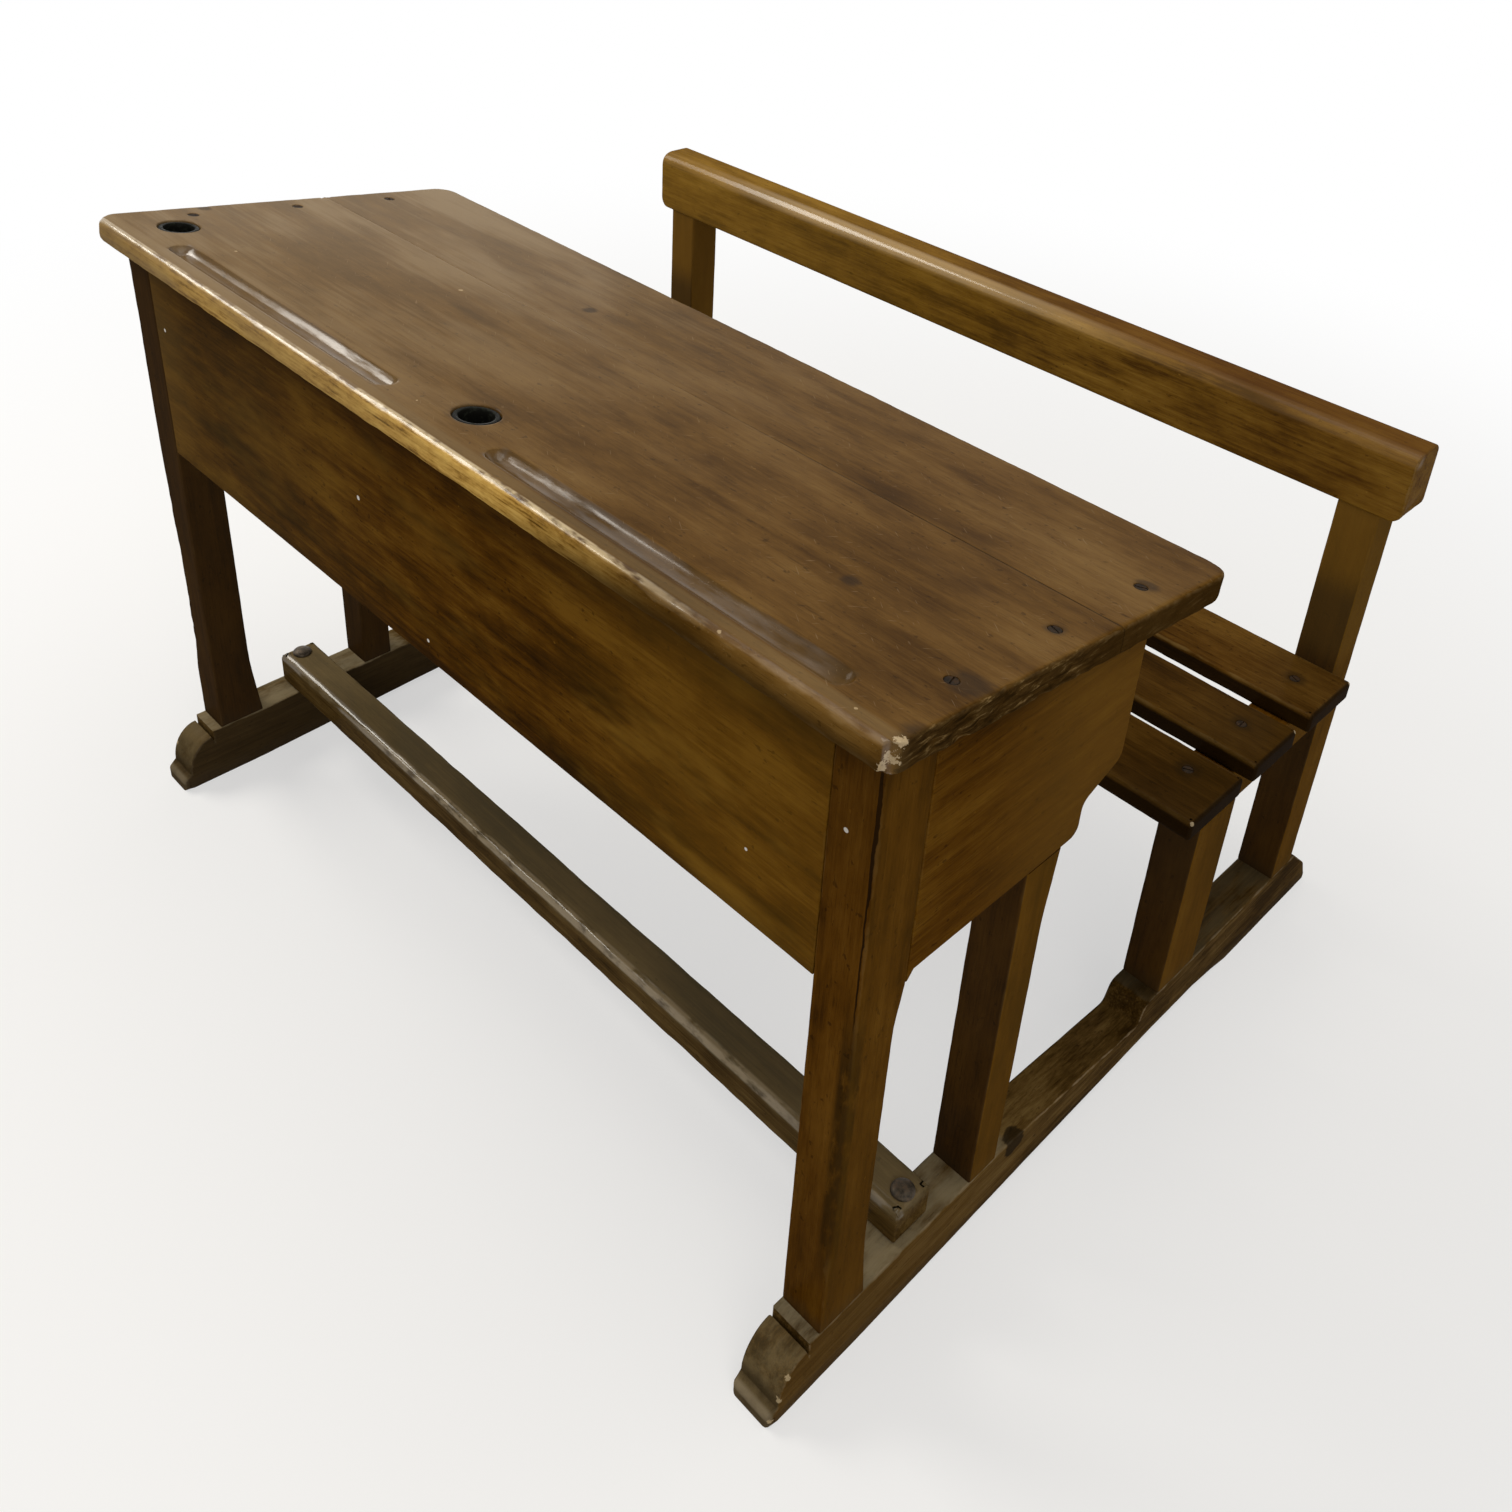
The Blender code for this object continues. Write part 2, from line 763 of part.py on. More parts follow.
def make_end_panel(word, side, leg):
    """End board of the book compartment, with a stepped rear corner, tongued into the front leg."""
    front = front_leg_head_depth + joint_gap
    bottom = end_panel_bottom_height
    nose_front = rear_upright_setback + rear_upright_depth + rear_upright_bracket_depth
    nose_rear = nose_front + end_panel_nose_depth
    nose_top = bottom + end_panel_nose_height
    corners = (
        (front, bottom - end_panel_front_corner_drop, 0),
        (front + end_panel_front_corner_depth, bottom, 0),
        (nose_rear, bottom, end_panel_nose_radius),
        (nose_rear, nose_top, end_panel_step_radius),
        (end_panel_rear, nose_top + end_panel_step_rise, end_panel_rear_corner_radius),
        (end_panel_rear, underside(end_panel_rear), 0),
        (front, underside(front), 0),
    )
    place = (side * end_panel_centre_x, leg_front_y, 0)
    panel = plate("end_panel_" + word, rounded_outline(corners), end_panel_thickness, place)

    def free_edge(start, end):
        against_leg = max(start.x, end.x) < front + weld_distance
        under_desktop = min(start.y, end.y) > underside(end_panel_rear) - weld_distance
        return not against_leg and not under_desktop

    soften(panel, frame_arris, 1, free_edge)
    tongue_front = front_leg_head_depth - tongue_length
    tenon_joint(
        panel, leg, panel.name,
        (side * end_panel_centre_x - tongue_thickness / 2, behind(tongue_front), bottom + tongue_shoulder),
        (
            side * end_panel_centre_x + tongue_thickness / 2,
            behind(front_leg_head_depth),
            underside(front_leg_head_depth) - tongue_shoulder,
        ),
        (0, 1, 0),
    )
    return finish(panel, board_colour, wood_roughness)


def make_front_panel(legs):
    """Wide front board of the book compartment, flush with the legs and tongued into them."""
    outline = (
        (0, front_panel_bottom_height),
        (front_panel_thickness, front_panel_bottom_height),
        (front_panel_thickness, underside(front_panel_thickness)),
        (0, underside(0)),
    )
    length = 2 * (frame_inner_x - joint_gap)
    panel = plate("front_panel", outline, length, (0, leg_front_y, 0))

    def lower_edge(start, end):
        low = max(start.y, end.y) < front_panel_bottom_height + weld_distance
        return low and abs(start.z - end.z) > weld_distance

    soften(panel, frame_arris, 1, lower_edge)
    tongue_front = (front_panel_thickness - tongue_thickness) / 2
    tongue_bottom = front_panel_bottom_height + tongue_shoulder
    tongue_top = underside(front_panel_thickness) - tongue_shoulder
    for (word, side), leg in zip(sides, legs):
        root = side * frame_inner_x
        tip = side * (frame_inner_x + tongue_length)
        tenon_joint(
            panel, leg, "front_panel_" + word,
            (min(root, tip), behind(tongue_front), tongue_bottom),
            (max(root, tip), behind(tongue_front + tongue_thickness), tongue_top),
            (-side, 0, 0),
        )
    return finish(panel, board_colour, wood_roughness)


def make_shelf():
    """Bottom board of the book compartment, which lies on three cleats."""
    half = frame_inner_x - joint_gap
    shelf = box(
        "book_shelf",
        (-half, behind(shelf_front), shelf_bottom_height),
        (half, behind(shelf_rear), shelf_bottom_height + shelf_thickness),
    )
    return finish(soften(shelf, frame_arris), inside_colour, inside_roughness)


def make_side_cleat(word, side):
    """Strip that carries an end of the shelf, screwed to the leg and the rear upright."""
    outer = side * (frame_inner_x - joint_gap)
    inner = outer - side * cleat_width
    cleat = box(
        "shelf_cleat_" + word,
        (min(inner, outer), behind(shelf_front), cleat_bottom_height),
        (max(inner, outer), behind(shelf_rear - cleat_rear_setback), cleat_top_height),
    )
    return finish(soften(cleat, frame_arris), inside_colour, inside_roughness)


def make_front_cleat():
    """Strip glued inside the front panel, between the side cleats, under the shelf's front edge."""
    half = frame_inner_x - joint_gap - cleat_width - front_cleat_end_gap
    cleat = box(
        "shelf_cleat_front",
        (-half, behind(shelf_front), cleat_bottom_height),
        (half, behind(shelf_front + cleat_width), cleat_top_height),
    )
    return finish(soften(cleat, frame_arris), inside_colour, inside_roughness)


def make_foot_bar():
    """Bar across the runners for the pupils' feet."""
    bar = box(
        "foot_bar",
        (-foot_bar_length / 2, behind(foot_bar_setback), foot_bar_bottom_height),
        (foot_bar_length / 2, behind(foot_bar_setback + foot_bar_depth), foot_bar_top_height),
    )
    return finish(soften(bar, foot_bar_radius, edge_facets), worn_colour, wood_roughness)


def make_foot_bar_bolt(word, side, bar, runner):
    """Dome-headed bolt down through the bar and a runner, and its nut in a recess below."""
    y = behind(foot_bar_setback + foot_bar_depth / 2)
    x = side * frame_centre_x
    seat = foot_bar_top_height + joint_gap
    recess_top = hollow_depth + nut_recess_depth
    nut_top = recess_top - joint_gap
    shank_end = nut_top - nut_thickness - bolt_end_clearance
    quarter = [math.pi / 2 * step / arc_steps for step in range(arc_steps + 1)]
    dome = [(bolt_head_radius * math.sin(turn), seat + bolt_head_height * math.cos(turn)) for turn in quarter]
    bolt = turned(
        "foot_bar_bolt_" + word,
        [*dome, (bolt_shank_radius, seat), (bolt_shank_radius, shank_end), (0, shank_end)],
        screw_turning_steps,
        (x, y, 0),
    )
    finish(bolt, steel_colour, steel_roughness, metallic=1)
    bore = bolt_shank_radius + joint_gap
    hole = as_cutter(turned(
        "foot_bar_bolt_hole_" + word,
        (
            (0, seat + overrun),
            (bore, seat + overrun),
            (bore, recess_top),
            (nut_recess_radius, recess_top),
            (nut_recess_radius, -overrun),
            (0, -overrun),
        ),
        turning_steps,
        (x, y, 0),
    ))
    cut(bar, hole)
    cut(runner, hole)
    mesh = bpy.data.meshes.new("foot_bar_nut_" + word)
    shape = bmesh.new()
    bmesh.ops.create_cone(
        shape, cap_ends=True, segments=nut_sides, radius1=nut_radius, radius2=nut_radius, depth=nut_thickness
    )
    shape.to_mesh(mesh)
    shape.free()
    nut = new_piece("foot_bar_nut_" + word, mesh, (x, y, nut_top - nut_thickness / 2))
    nut_bore = as_cutter(turned(
        "foot_bar_nut_bore_" + word,
        ((0, recess_top + overrun), (bore, recess_top + overrun), (bore, -overrun), (0, -overrun)),
        screw_turning_steps,
        (x, y, 0),
    ))
    cut(nut, nut_bore)
    finish(nut, steel_colour, steel_roughness, metallic=1)


def make_bearer(word, side):
    """Rail under the slats of a side frame, with a tapered nose in front of the post."""
    nose_bottom = bearer_top_height - bearer_nose_height
    corners = (
        (bearer_front, bearer_top_height, 0),
        (bearer_front, nose_bottom, bearer_nose_radius),
        (bench_front_post_setback, bearer_bottom_height, bearer_taper_radius),
        (bearer_rear, bearer_bottom_height, 0),
        (bearer_rear, bearer_top_height, 0),
    )
    place = (side * frame_centre_x, leg_front_y, 0)
    bearer = plate("seat_bearer_" + word, rounded_outline(corners), frame_thickness, place)

    def before_post(start, end):
        return min(start.x, end.x) < bearer_rear - weld_distance

    soften(bearer, frame_arris, 1, before_post)
    return finish(bearer, frame_colour, wood_roughness)


def make_bench_posts(word, side, runner, bearer):
    """Front post up to the bearer, and rear post up to the backrest, which is the one handed back."""
    x_low = side * frame_centre_x - frame_thickness / 2
    x_high = side * frame_centre_x + frame_thickness / 2
    tenon_low = side * frame_centre_x - tenon_thickness / 2
    tenon_high = side * frame_centre_x + tenon_thickness / 2
    tenon_foot = runner_height - runner_tenon_length
    bearer_tenon_end = bench_rear_post_setback + bearer_tenon_length
    front_rear_face = bench_front_post_setback + bench_front_post_depth
    rear_rear_face = bench_rear_post_setback + bench_rear_post_depth

    def long_edge(start, end):
        return abs(start.z - end.z) > frame_thickness

    front_post = box(
        "bench_front_post_" + word,
        (x_low, behind(bench_front_post_setback), post_bottom_height),
        (x_high, behind(front_rear_face), bearer_bottom_height - joint_gap),
    )
    soften(front_post, frame_arris, 1, long_edge)
    tenon_joint(
        front_post, runner, front_post.name + "_foot",
        (tenon_low, behind(bench_front_post_setback + tenon_shoulder), tenon_foot),
        (tenon_high, behind(front_rear_face - tenon_shoulder), runner_height),
        (0, 0, 1),
    )
    tenon_joint(
        front_post, bearer, front_post.name + "_head",
        (tenon_low, behind(bench_front_post_setback + tenon_shoulder), bearer_bottom_height),
        (tenon_high, behind(front_rear_face - tenon_shoulder), bearer_bottom_height + post_top_tenon_length),
        (0, 0, -1),
    )
    rear_post = box(
        "bench_rear_post_" + word,
        (x_low, behind(bench_rear_post_setback), post_bottom_height),
        (x_high, behind(rear_rear_face), backrest_bottom_height - joint_gap),
    )
    soften(rear_post, frame_arris, 1, long_edge)
    tenon_joint(
        rear_post, runner, rear_post.name + "_foot",
        (tenon_low, behind(bench_rear_post_setback + tenon_shoulder), tenon_foot),
        (tenon_high, behind(rear_rear_face - tenon_shoulder), runner_height),
        (0, 0, 1),
    )
    tenon_joint(
        bearer, rear_post, bearer.name,
        (tenon_low, behind(bench_rear_post_setback), bearer_bottom_height + tenon_shoulder),
        (tenon_high, behind(bearer_tenon_end), bearer_top_height - tenon_shoulder),
        (0, -1, 0),
    )
    finish(front_post, frame_colour, wood_roughness)
    return finish(rear_post, frame_colour, wood_roughness)


def make_slats():
    """The three boards of the seat."""
    slats = []
    rear_slat_setback = bench_rear_post_setback - joint_gap - rear_slat_depth
    for name, setback, depth in (
        ("seat_slat_front", front_slat_setback, front_slat_depth),
        ("seat_slat_middle", middle_slat_setback, middle_slat_depth),
        ("seat_slat_rear", rear_slat_setback, rear_slat_depth),
    ):
        slat = box(
            name,
            (-slat_length / 2, behind(setback), slat_bottom_height),
            (slat_length / 2, behind(setback + depth), seat_height),
        )
        slats.append(finish(soften(slat, slat_arris, edge_facets), slat_colour, wood_roughness))
    return slats


def make_backrest(rear_posts):
    """Thick rail on the rear posts, round on its upper front arris and its lower end corners."""
    front = bench_rear_post_setback - backrest_front_proud
    rear = front + backrest_depth
    outline = rounded_outline((
        (front, backrest_bottom_height, 0),
        (rear, backrest_bottom_height, 0),
        (rear, backrest_top_height, backrest_rear_radius),
        (front, backrest_top_height, backrest_front_radius),
    ))
    rail = plate("backrest_rail", outline, backrest_length, (0, leg_front_y, 0))

    def lower_end(start, end):
        flat = max(start.y, end.y) < backrest_bottom_height + weld_distance
        return flat and abs(start.z - end.z) < weld_distance

    soften(rail, backrest_end_radius, arc_steps, lower_end)
    soften(rail, frame_arris)
    for (word, side), post in zip(sides, rear_posts):
        tenon_joint(
            post, rail, "backrest_" + word,
            (
                side * frame_centre_x - tenon_thickness / 2,
                behind(bench_rear_post_setback + tenon_shoulder),
                backrest_bottom_height,
            ),
            (
                side * frame_centre_x + tenon_thickness / 2,
                behind(bench_rear_post_setback + bench_rear_post_depth - tenon_shoulder),
                backrest_bottom_height + backrest_tenon_length,
            ),
            (0, 0, -1),
        )
    return finish(rail, backrest_colour, wood_roughness)


def screw_desktop(boards, panels, slope_frame):
    """Three screws down through each end of the top into the end panel below."""
    mesh = screw_mesh("desktop_screw", desktop_screw_length)
    seam_setback = front_board_depth * math.cos(slope) - desktop_front_overhang
    for (word, side), panel in zip(sides, panels):
        for number, setback in enumerate(desktop_screw_setbacks, 1):
            board = boards[0] if setback < seam_setback else boards[1]
            fasten(
                "desktop_screw_%s_%d" % (word, number),
                mesh,
                desktop_screw_length,
                (side * end_panel_centre_x, along_slope(setback), 0),
                (0, 0, 0),
                (board, panel),
                slope_frame,
                slot_turn=side * number * slot_turn_step,
            )


def screw_slats(slats, bearers):
    """A screw at each end of each slat, into the bearer."""
    mesh = screw_mesh("seat_screw", seat_screw_length)
    setbacks = (front_slat_screw_setback, middle_slat_screw_setback, rear_slat_screw_setback)
    for (word, side), bearer in zip(sides, bearers):
        for number, (slat, setback) in enumerate(zip(slats, setbacks)):
            fasten(
                "%s_screw_%s" % (slat.name.replace("slat_", ""), word),
                mesh,
                seat_screw_length,
                (side * frame_centre_x, behind(setback), seat_height),
                (0, 0, 0),
                (slat, bearer),
                slot_turn=side * number * slot_turn_step,
            )


def screw_backrest(rail, rear_posts):
    """A screw at each end, through the rail's front face and the post's tenon."""
    mesh = screw_mesh("backrest_screw", backrest_screw_length)
    face = behind(bench_rear_post_setback - backrest_front_proud)
    for (word, side), post in zip(sides, rear_posts):
        fasten(
            "backrest_screw_" + word,
            mesh,
            backrest_screw_length,
            (side * frame_centre_x, face, backrest_bottom_height + backrest_screw_height),
            (math.pi / 2, 0, 0),
            (rail, post),
            slot_turn=side * slot_turn_step,
        )


def screw_cleats(cleats, legs, uprights):
    """Two screws through each side cleat, one into the front leg and one into the rear upright."""
    mesh = screw_mesh("cleat_screw", cleat_screw_length)
    height = (cleat_bottom_height + cleat_top_height) / 2
    upright_setback = rear_upright_setback + rear_upright_depth / 2
    for (word, side), cleat, leg, upright in zip(sides, cleats, legs, uprights):
        face = side * (frame_inner_x - joint_gap - cleat_width)
        for place, setback, post in (
            ("front", front_cleat_screw_setback, leg),
            ("rear", upright_setback, upright),
        ):
            fasten(
                "cleat_screw_%s_%s" % (word, place),
                mesh,
                cleat_screw_length,
                (face, behind(setback), height),
                (0, -side * math.pi / 2, 0),
                (cleat, post),
                slot_turn=side * slot_turn_step,
            )


def build_desk():
    """Make every piece of the desk."""
    slope_frame = make_slope()
    boards = make_desktop_boards(slope_frame)
    cut_pen_grooves(boards[0], slope_frame)
    runners = [make_runner(word, side) for word, side in sides]
    legs = [make_front_leg(word, side, runner) for (word, side), runner in zip(sides, runners)]
    make_inkwells(boards[0], legs[0], slope_frame)
    uprights = [make_rear_upright(word, side, runner) for (word, side), runner in zip(sides, runners)]
    panels = [make_end_panel(word, side, leg) for (word, side), leg in zip(sides, legs)]
    make_front_panel(legs)
    make_shelf()
    cleats = [make_side_cleat(word, side) for word, side in sides]
    make_front_cleat()
    bar = make_foot_bar()
    for (word, side), runner in zip(sides, runners):
        make_foot_bar_bolt(word, side, bar, runner)
    bearers = [make_bearer(word, side) for word, side in sides]
    rear_posts = [
        make_bench_posts(word, side, runner, bearer)
        for (word, side), runner, bearer in zip(sides, runners, bearers)
    ]
    slats = make_slats()
    rail = make_backrest(rear_posts)
    screw_desktop(boards, panels, slope_frame)
    screw_slats(slats, bearers)
    screw_backrest(rail, rear_posts)
    screw_cleats(cleats, legs, uprights)


build_desk()
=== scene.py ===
"""A worn school desk with its bench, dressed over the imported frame.

Lengths are in metres. Setbacks are measured from the front faces of the legs, heights from
the floor. The sloping top has its own directions: along its length, down its fall from the
front edge, and up from its surface.
"""

import math

import bmesh
import bpy
import numpy as np
from bpy.props import FloatProperty, FloatVectorProperty, PointerProperty
from mathutils import Matrix, Vector, noise
from mathutils.geometry import delaunay_2d_cdt


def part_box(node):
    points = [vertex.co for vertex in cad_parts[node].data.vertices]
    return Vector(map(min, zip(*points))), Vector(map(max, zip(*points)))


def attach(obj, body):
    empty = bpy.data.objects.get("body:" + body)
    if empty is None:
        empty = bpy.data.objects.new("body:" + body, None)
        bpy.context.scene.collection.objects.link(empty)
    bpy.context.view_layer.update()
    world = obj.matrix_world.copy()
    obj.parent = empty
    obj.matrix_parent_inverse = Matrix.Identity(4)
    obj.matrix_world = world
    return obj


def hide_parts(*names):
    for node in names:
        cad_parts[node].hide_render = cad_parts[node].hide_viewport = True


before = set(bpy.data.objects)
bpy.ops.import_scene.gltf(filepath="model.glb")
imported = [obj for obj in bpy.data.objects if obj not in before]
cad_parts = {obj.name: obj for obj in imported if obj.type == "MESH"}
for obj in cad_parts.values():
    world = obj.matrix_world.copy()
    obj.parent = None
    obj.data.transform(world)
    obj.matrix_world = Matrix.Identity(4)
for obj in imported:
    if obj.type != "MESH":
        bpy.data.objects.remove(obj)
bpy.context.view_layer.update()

bl_info = {
    "name": "School desk with bench",
    "version": (1, 0, 0),
    "blender": (4, 5, 0),
    "location": "3D View > Sidebar > School desk",
    "description": "Builds a worn two-place school desk with its bench",
    "category": "Add Mesh",
}

# Where the legs' front faces stand in the frame, and the top's fall.
leg_front_y = -0.3585
top_front_setback = -0.020
top_depth = 0.380
top_thickness = 0.021
top_front_height = 0.640
top_rear_height = 0.590
top_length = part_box("desktop_front_board")[1].x * 2
top_angle = math.asin((top_front_height - top_rear_height) / top_depth)
joint_gap = 0.0003

# Frame members, boards and seat.
sides = (("left", -1), ("right", 1))
frame_outer_x = 0.473
frame_inner_x = 0.433
frame_middle_x = (frame_outer_x + frame_inner_x) / 2
board_end_x = 0.4327
panel_thickness = 0.016
post_bottom = 0.0633
bench_end_x = 0.492
seat_bottom = 0.310
seat_top = 0.330
rail_front = 0.668

# Each slat's front and rear edge and its screws, as setbacks.
seat_slats = (("front", 0.389, 0.472, 0.445), ("middle", 0.494, 0.565, 0.535),
              ("rear", 0.5927, 0.6697, 0.633))

# Places on the top, along its length and down its fall; the seam joins its two boards.
seam_fall = 0.232
inkwell_places = ((-0.434, 0.0555), (0.034, 0.0555))
groove_spans = ((-0.385, -0.040), (0.088, 0.433))
groove_middle = 0.0303
top_screw_falls = (0.0837, 0.1896, 0.2925)
top_screw_x = 0.464

# How finely pieces are drawn.
arc_step = math.radians(13)
profile_steps = 4
margin = 0.0014
sharp_angle = math.radians(38)

# The woods' dark, middle and light colours, and pale paint.
wood_tones = {
    "top": ("Top", (0.071, 0.0325, 0.0050), (0.120, 0.0590, 0.0115), (0.180, 0.0990, 0.0260)),
    "panel": ("Panel", (0.048, 0.0185, 0.0012), (0.093, 0.0370, 0.0024), (0.162, 0.0760, 0.0075)),
    "frame": ("Frame", (0.044, 0.0165, 0.0011), (0.088, 0.0345, 0.0025), (0.138, 0.0610, 0.0070)),
    "worn": ("Runner", (0.048, 0.0250, 0.0050), (0.106, 0.0600, 0.0160), (0.190, 0.1200, 0.0400)),
    "rail": ("Backrest", (0.068, 0.0290, 0.0026), (0.165, 0.0810, 0.0085),
             (0.265, 0.1440, 0.0210)),
    "seat": ("Seat", (0.045, 0.0185, 0.0022), (0.088, 0.0395, 0.0058), (0.148, 0.0740, 0.0130)),
}
tone_kinds = (("dark", "Dark grain"), ("middle", "Main tone"), ("light", "Light grain"))
pale_paint = (0.72, 0.70, 0.66)


def side_place(points):
    """Setback, height, sideways place of a side view to frame coordinates."""
    return np.stack((points[:, 2], points[:, 0] + leg_front_y, points[:, 1]), 1)


def level_place(points):
    """Sideways place, setback, height of a plan to frame coordinates."""
    return np.stack((points[:, 0], points[:, 1] + leg_front_y, points[:, 2]), 1)


def front_place(points):
    """Sideways place, height, setback of a front view to frame coordinates."""
    return np.stack((points[:, 0], points[:, 2] + leg_front_y, points[:, 1]), 1)


def top_place(points):
    """Place along the top, down its fall and above its surface to frame coordinates."""
    fall, rise = points[:, 1], points[:, 2]
    along, across = math.cos(top_angle), math.sin(top_angle)
    return np.stack((points[:, 0],
                     leg_front_y + top_front_setback + fall * along + rise * across,
                     top_front_height - fall * across + rise * along), 1)


def fall_y(fall):
    """Where a fall down the top lies in the frame, from front to rear."""
    return leg_front_y + top_front_setback + fall * math.cos(top_angle)


def under_top(setback):
    """Height just under the sloping top at a setback."""
    drop = (setback - top_front_setback) * math.tan(top_angle)
    return top_front_height - drop - top_thickness / math.cos(top_angle) - joint_gap


def smooth_steps(value, low, high):
    """0 below low, 1 above high and a smooth rise between."""
    share = np.clip((np.asarray(value, float) - low) / (high - low), 0, 1)
    return share * share * (3 - 2 * share)


def rough(points, scale, seed=0.0):
    """Even noise from -1 to 1 at each point, its bumps about 1 / scale apart."""
    return np.array([noise.noise(Vector((float(p[0]) * scale, float(p[1]) * scale, seed)))
                     for p in points])


# Shapes

def rounded_outline(corners, step):
    """Points of a closed outline, anticlockwise, through (u, v, radius) corners."""
    points = []
    for index, (u, v, radius) in enumerate(corners):
        here = Vector((u, v))
        if not radius:
            points.append(here)
            continue
        back = (Vector(corners[index - 1][:2]) - here).normalized()
        on = (Vector(corners[(index + 1) % len(corners)][:2]) - here).normalized()
        turn = math.pi - back.angle(on)
        reach = radius * math.tan(turn / 2)
        centre = here + (back + on).normalized() * math.hypot(radius, reach)
        spoke, last = here + back * reach - centre, here + on * reach - centre
        turn = math.copysign(turn, spoke.x * last.y - spoke.y * last.x)
        steps = max(2, math.ceil(abs(turn) / arc_step))
        points += [centre + Matrix.Rotation(turn * k / steps, 2) @ spoke
                   for k in range(steps + 1)]
    divided = []
    for here, ahead in zip(points, points[1:] + points[:1]):
        gap = (ahead - here).length
        spacing = step(here) if callable(step) else step
        cuts = max(1, round(gap / spacing))
        divided += [here.lerp(ahead, k / cuts) for k in range(cuts) if gap > 1e-7]
    outline = np.array([tuple(p) for p in divided])
    ahead = np.roll(outline, -1, 0)
    if np.sum(outline[:, 0] * ahead[:, 1] - ahead[:, 0] * outline[:, 1]) < 0:
        outline = outline[::-1]
    return outline


def inward_lines(outline):
    """For each outline point, the step that moves it one metre in from both its edges."""
    ahead = np.roll(outline, -1, 0) - outline
    ahead /= np.linalg.norm(ahead, axis=1)[:, None]
    normal = np.stack((-ahead[:, 1], ahead[:, 0]), 1)
    before = np.roll(normal, 1, 0)
    meet = 1 + np.sum(normal * before, 1)
    return (normal + before) / meet[:, None]


def ring_points(centre, radius, count):
    """Points of a circle."""
    turns = np.arange(count) * 2 * math.pi / count
    return np.stack((centre[0] + radius * np.cos(turns), centre[1] + radius * np.sin(turns)), 1)


def long_ring(start, end, middle, radius, count=10, step=0.006):
    """A ring of a radius round the line from start to end at a fall."""
    straight = max(2, round((end - start) / step))
    turns = [math.pi * (0.5 + k / count) for k in range(count + 1)]
    left = [(start + radius * math.cos(t), middle + radius * math.sin(t)) for t in turns]
    right = [(end - radius * math.cos(t), middle - radius * math.sin(t)) for t in turns]
    low = [(start + (end - start) * k / straight, middle - radius) for k in range(1, straight)]
    high = [(end + (start - end) * k / straight, middle + radius) for k in range(1, straight)]
    return np.array(left + low + right + high)


class Piece:
    """Gathers the points and faces of one piece before they become a mesh."""

    def __init__(self):
        self.points, self.faces, self.wear = [], [], []

    def add(self, flat, height, wear=0.0):
        """Adds a ring of points and gives their numbers."""
        first = len(self.points)
        height = np.broadcast_to(height, len(flat))
        self.points += [(float(u), float(v), float(w)) for (u, v), w in zip(flat, height)]
        self.wear += list(np.broadcast_to(wear, len(flat)).astype(float))
        return list(range(first, len(self.points)))

    def wall(self, upper, lower):
        """Closes the band between two rings of as many points."""
        count = len(upper)
        for k in range(count):
            nxt = (k + 1) % count
            self.faces.append((upper[k], lower[k], lower[nxt], upper[nxt]))

    def cap(self, border, holes, height, inner=(), relief=None):
        """Fills a face inside its border, round holes and through inner rings."""
        hole_shapes = [np.array([self.points[n][:2] for n in hole]) for hole in holes]
        sunk = [self.add(ring, height - relief(ring)) for ring in inner]
        flat, numbers, edges = [], [], []
        for ring in [border, *holes, *sunk]:
            first = len(flat)
            flat += [Vector(self.points[n][:2]) for n in ring]
            numbers += ring
            edges += [(first + k, first + (k + 1) % len(ring)) for k in range(len(ring))]
        places, _, triangles, sources, *_ = delaunay_2d_cdt(flat, edges, [], 1, 1e-7)
        used = [numbers[source[0]] if source else self.add([tuple(place)], height)[0]
                for place, source in zip(places, sources)]
        for triangle in triangles:
            middle = sum((places[k] for k in triangle), Vector((0, 0))) / 3
            if any(inside(middle, shape) for shape in hole_shapes):
                continue
            self.faces.append(tuple(used[k] for k in triangle))


def inside(point, shape):
    """Whether a point lies within a closed shape."""
    ahead = np.roll(shape, -1, 0)
    crosses = (shape[:, 1] > point[1]) != (ahead[:, 1] > point[1])
    rise = np.where(crosses, ahead[:, 1] - shape[:, 1], 1)
    at = shape[:, 0] + (point[1] - shape[:, 1]) / rise * (ahead[:, 0] - shape[:, 0])
    return bool(np.sum(crosses & (point[0] < at)) % 2)


def make_object(name, piece, place, shape=None):
    """Turns a gathered piece into a mesh object in the frame."""
    points = np.array(piece.points)
    placed = place(points)
    if shape:
        placed = shape(points, placed)
    mesh = bpy.data.meshes.new(name)
    mesh.from_pydata([tuple(p) for p in placed], [], piece.faces)
    arris = mesh.attributes.new("arris", "FLOAT", "POINT")
    arris.data.foreach_set("value", np.array(piece.wear, np.float32))
    work = bmesh.new()
    work.from_mesh(mesh)
    bmesh.ops.remove_doubles(work, verts=work.verts, dist=2e-6)
    bmesh.ops.dissolve_degenerate(work, edges=work.edges, dist=1e-6)
    bmesh.ops.recalc_face_normals(work, faces=work.faces)
    for face in work.faces:
        face.smooth = True
    work.to_mesh(mesh)
    work.free()
    mesh.set_sharp_from_angle(angle=sharp_angle)
    made = bpy.data.objects.new(name, mesh)
    bpy.context.scene.collection.objects.link(made)
    return made


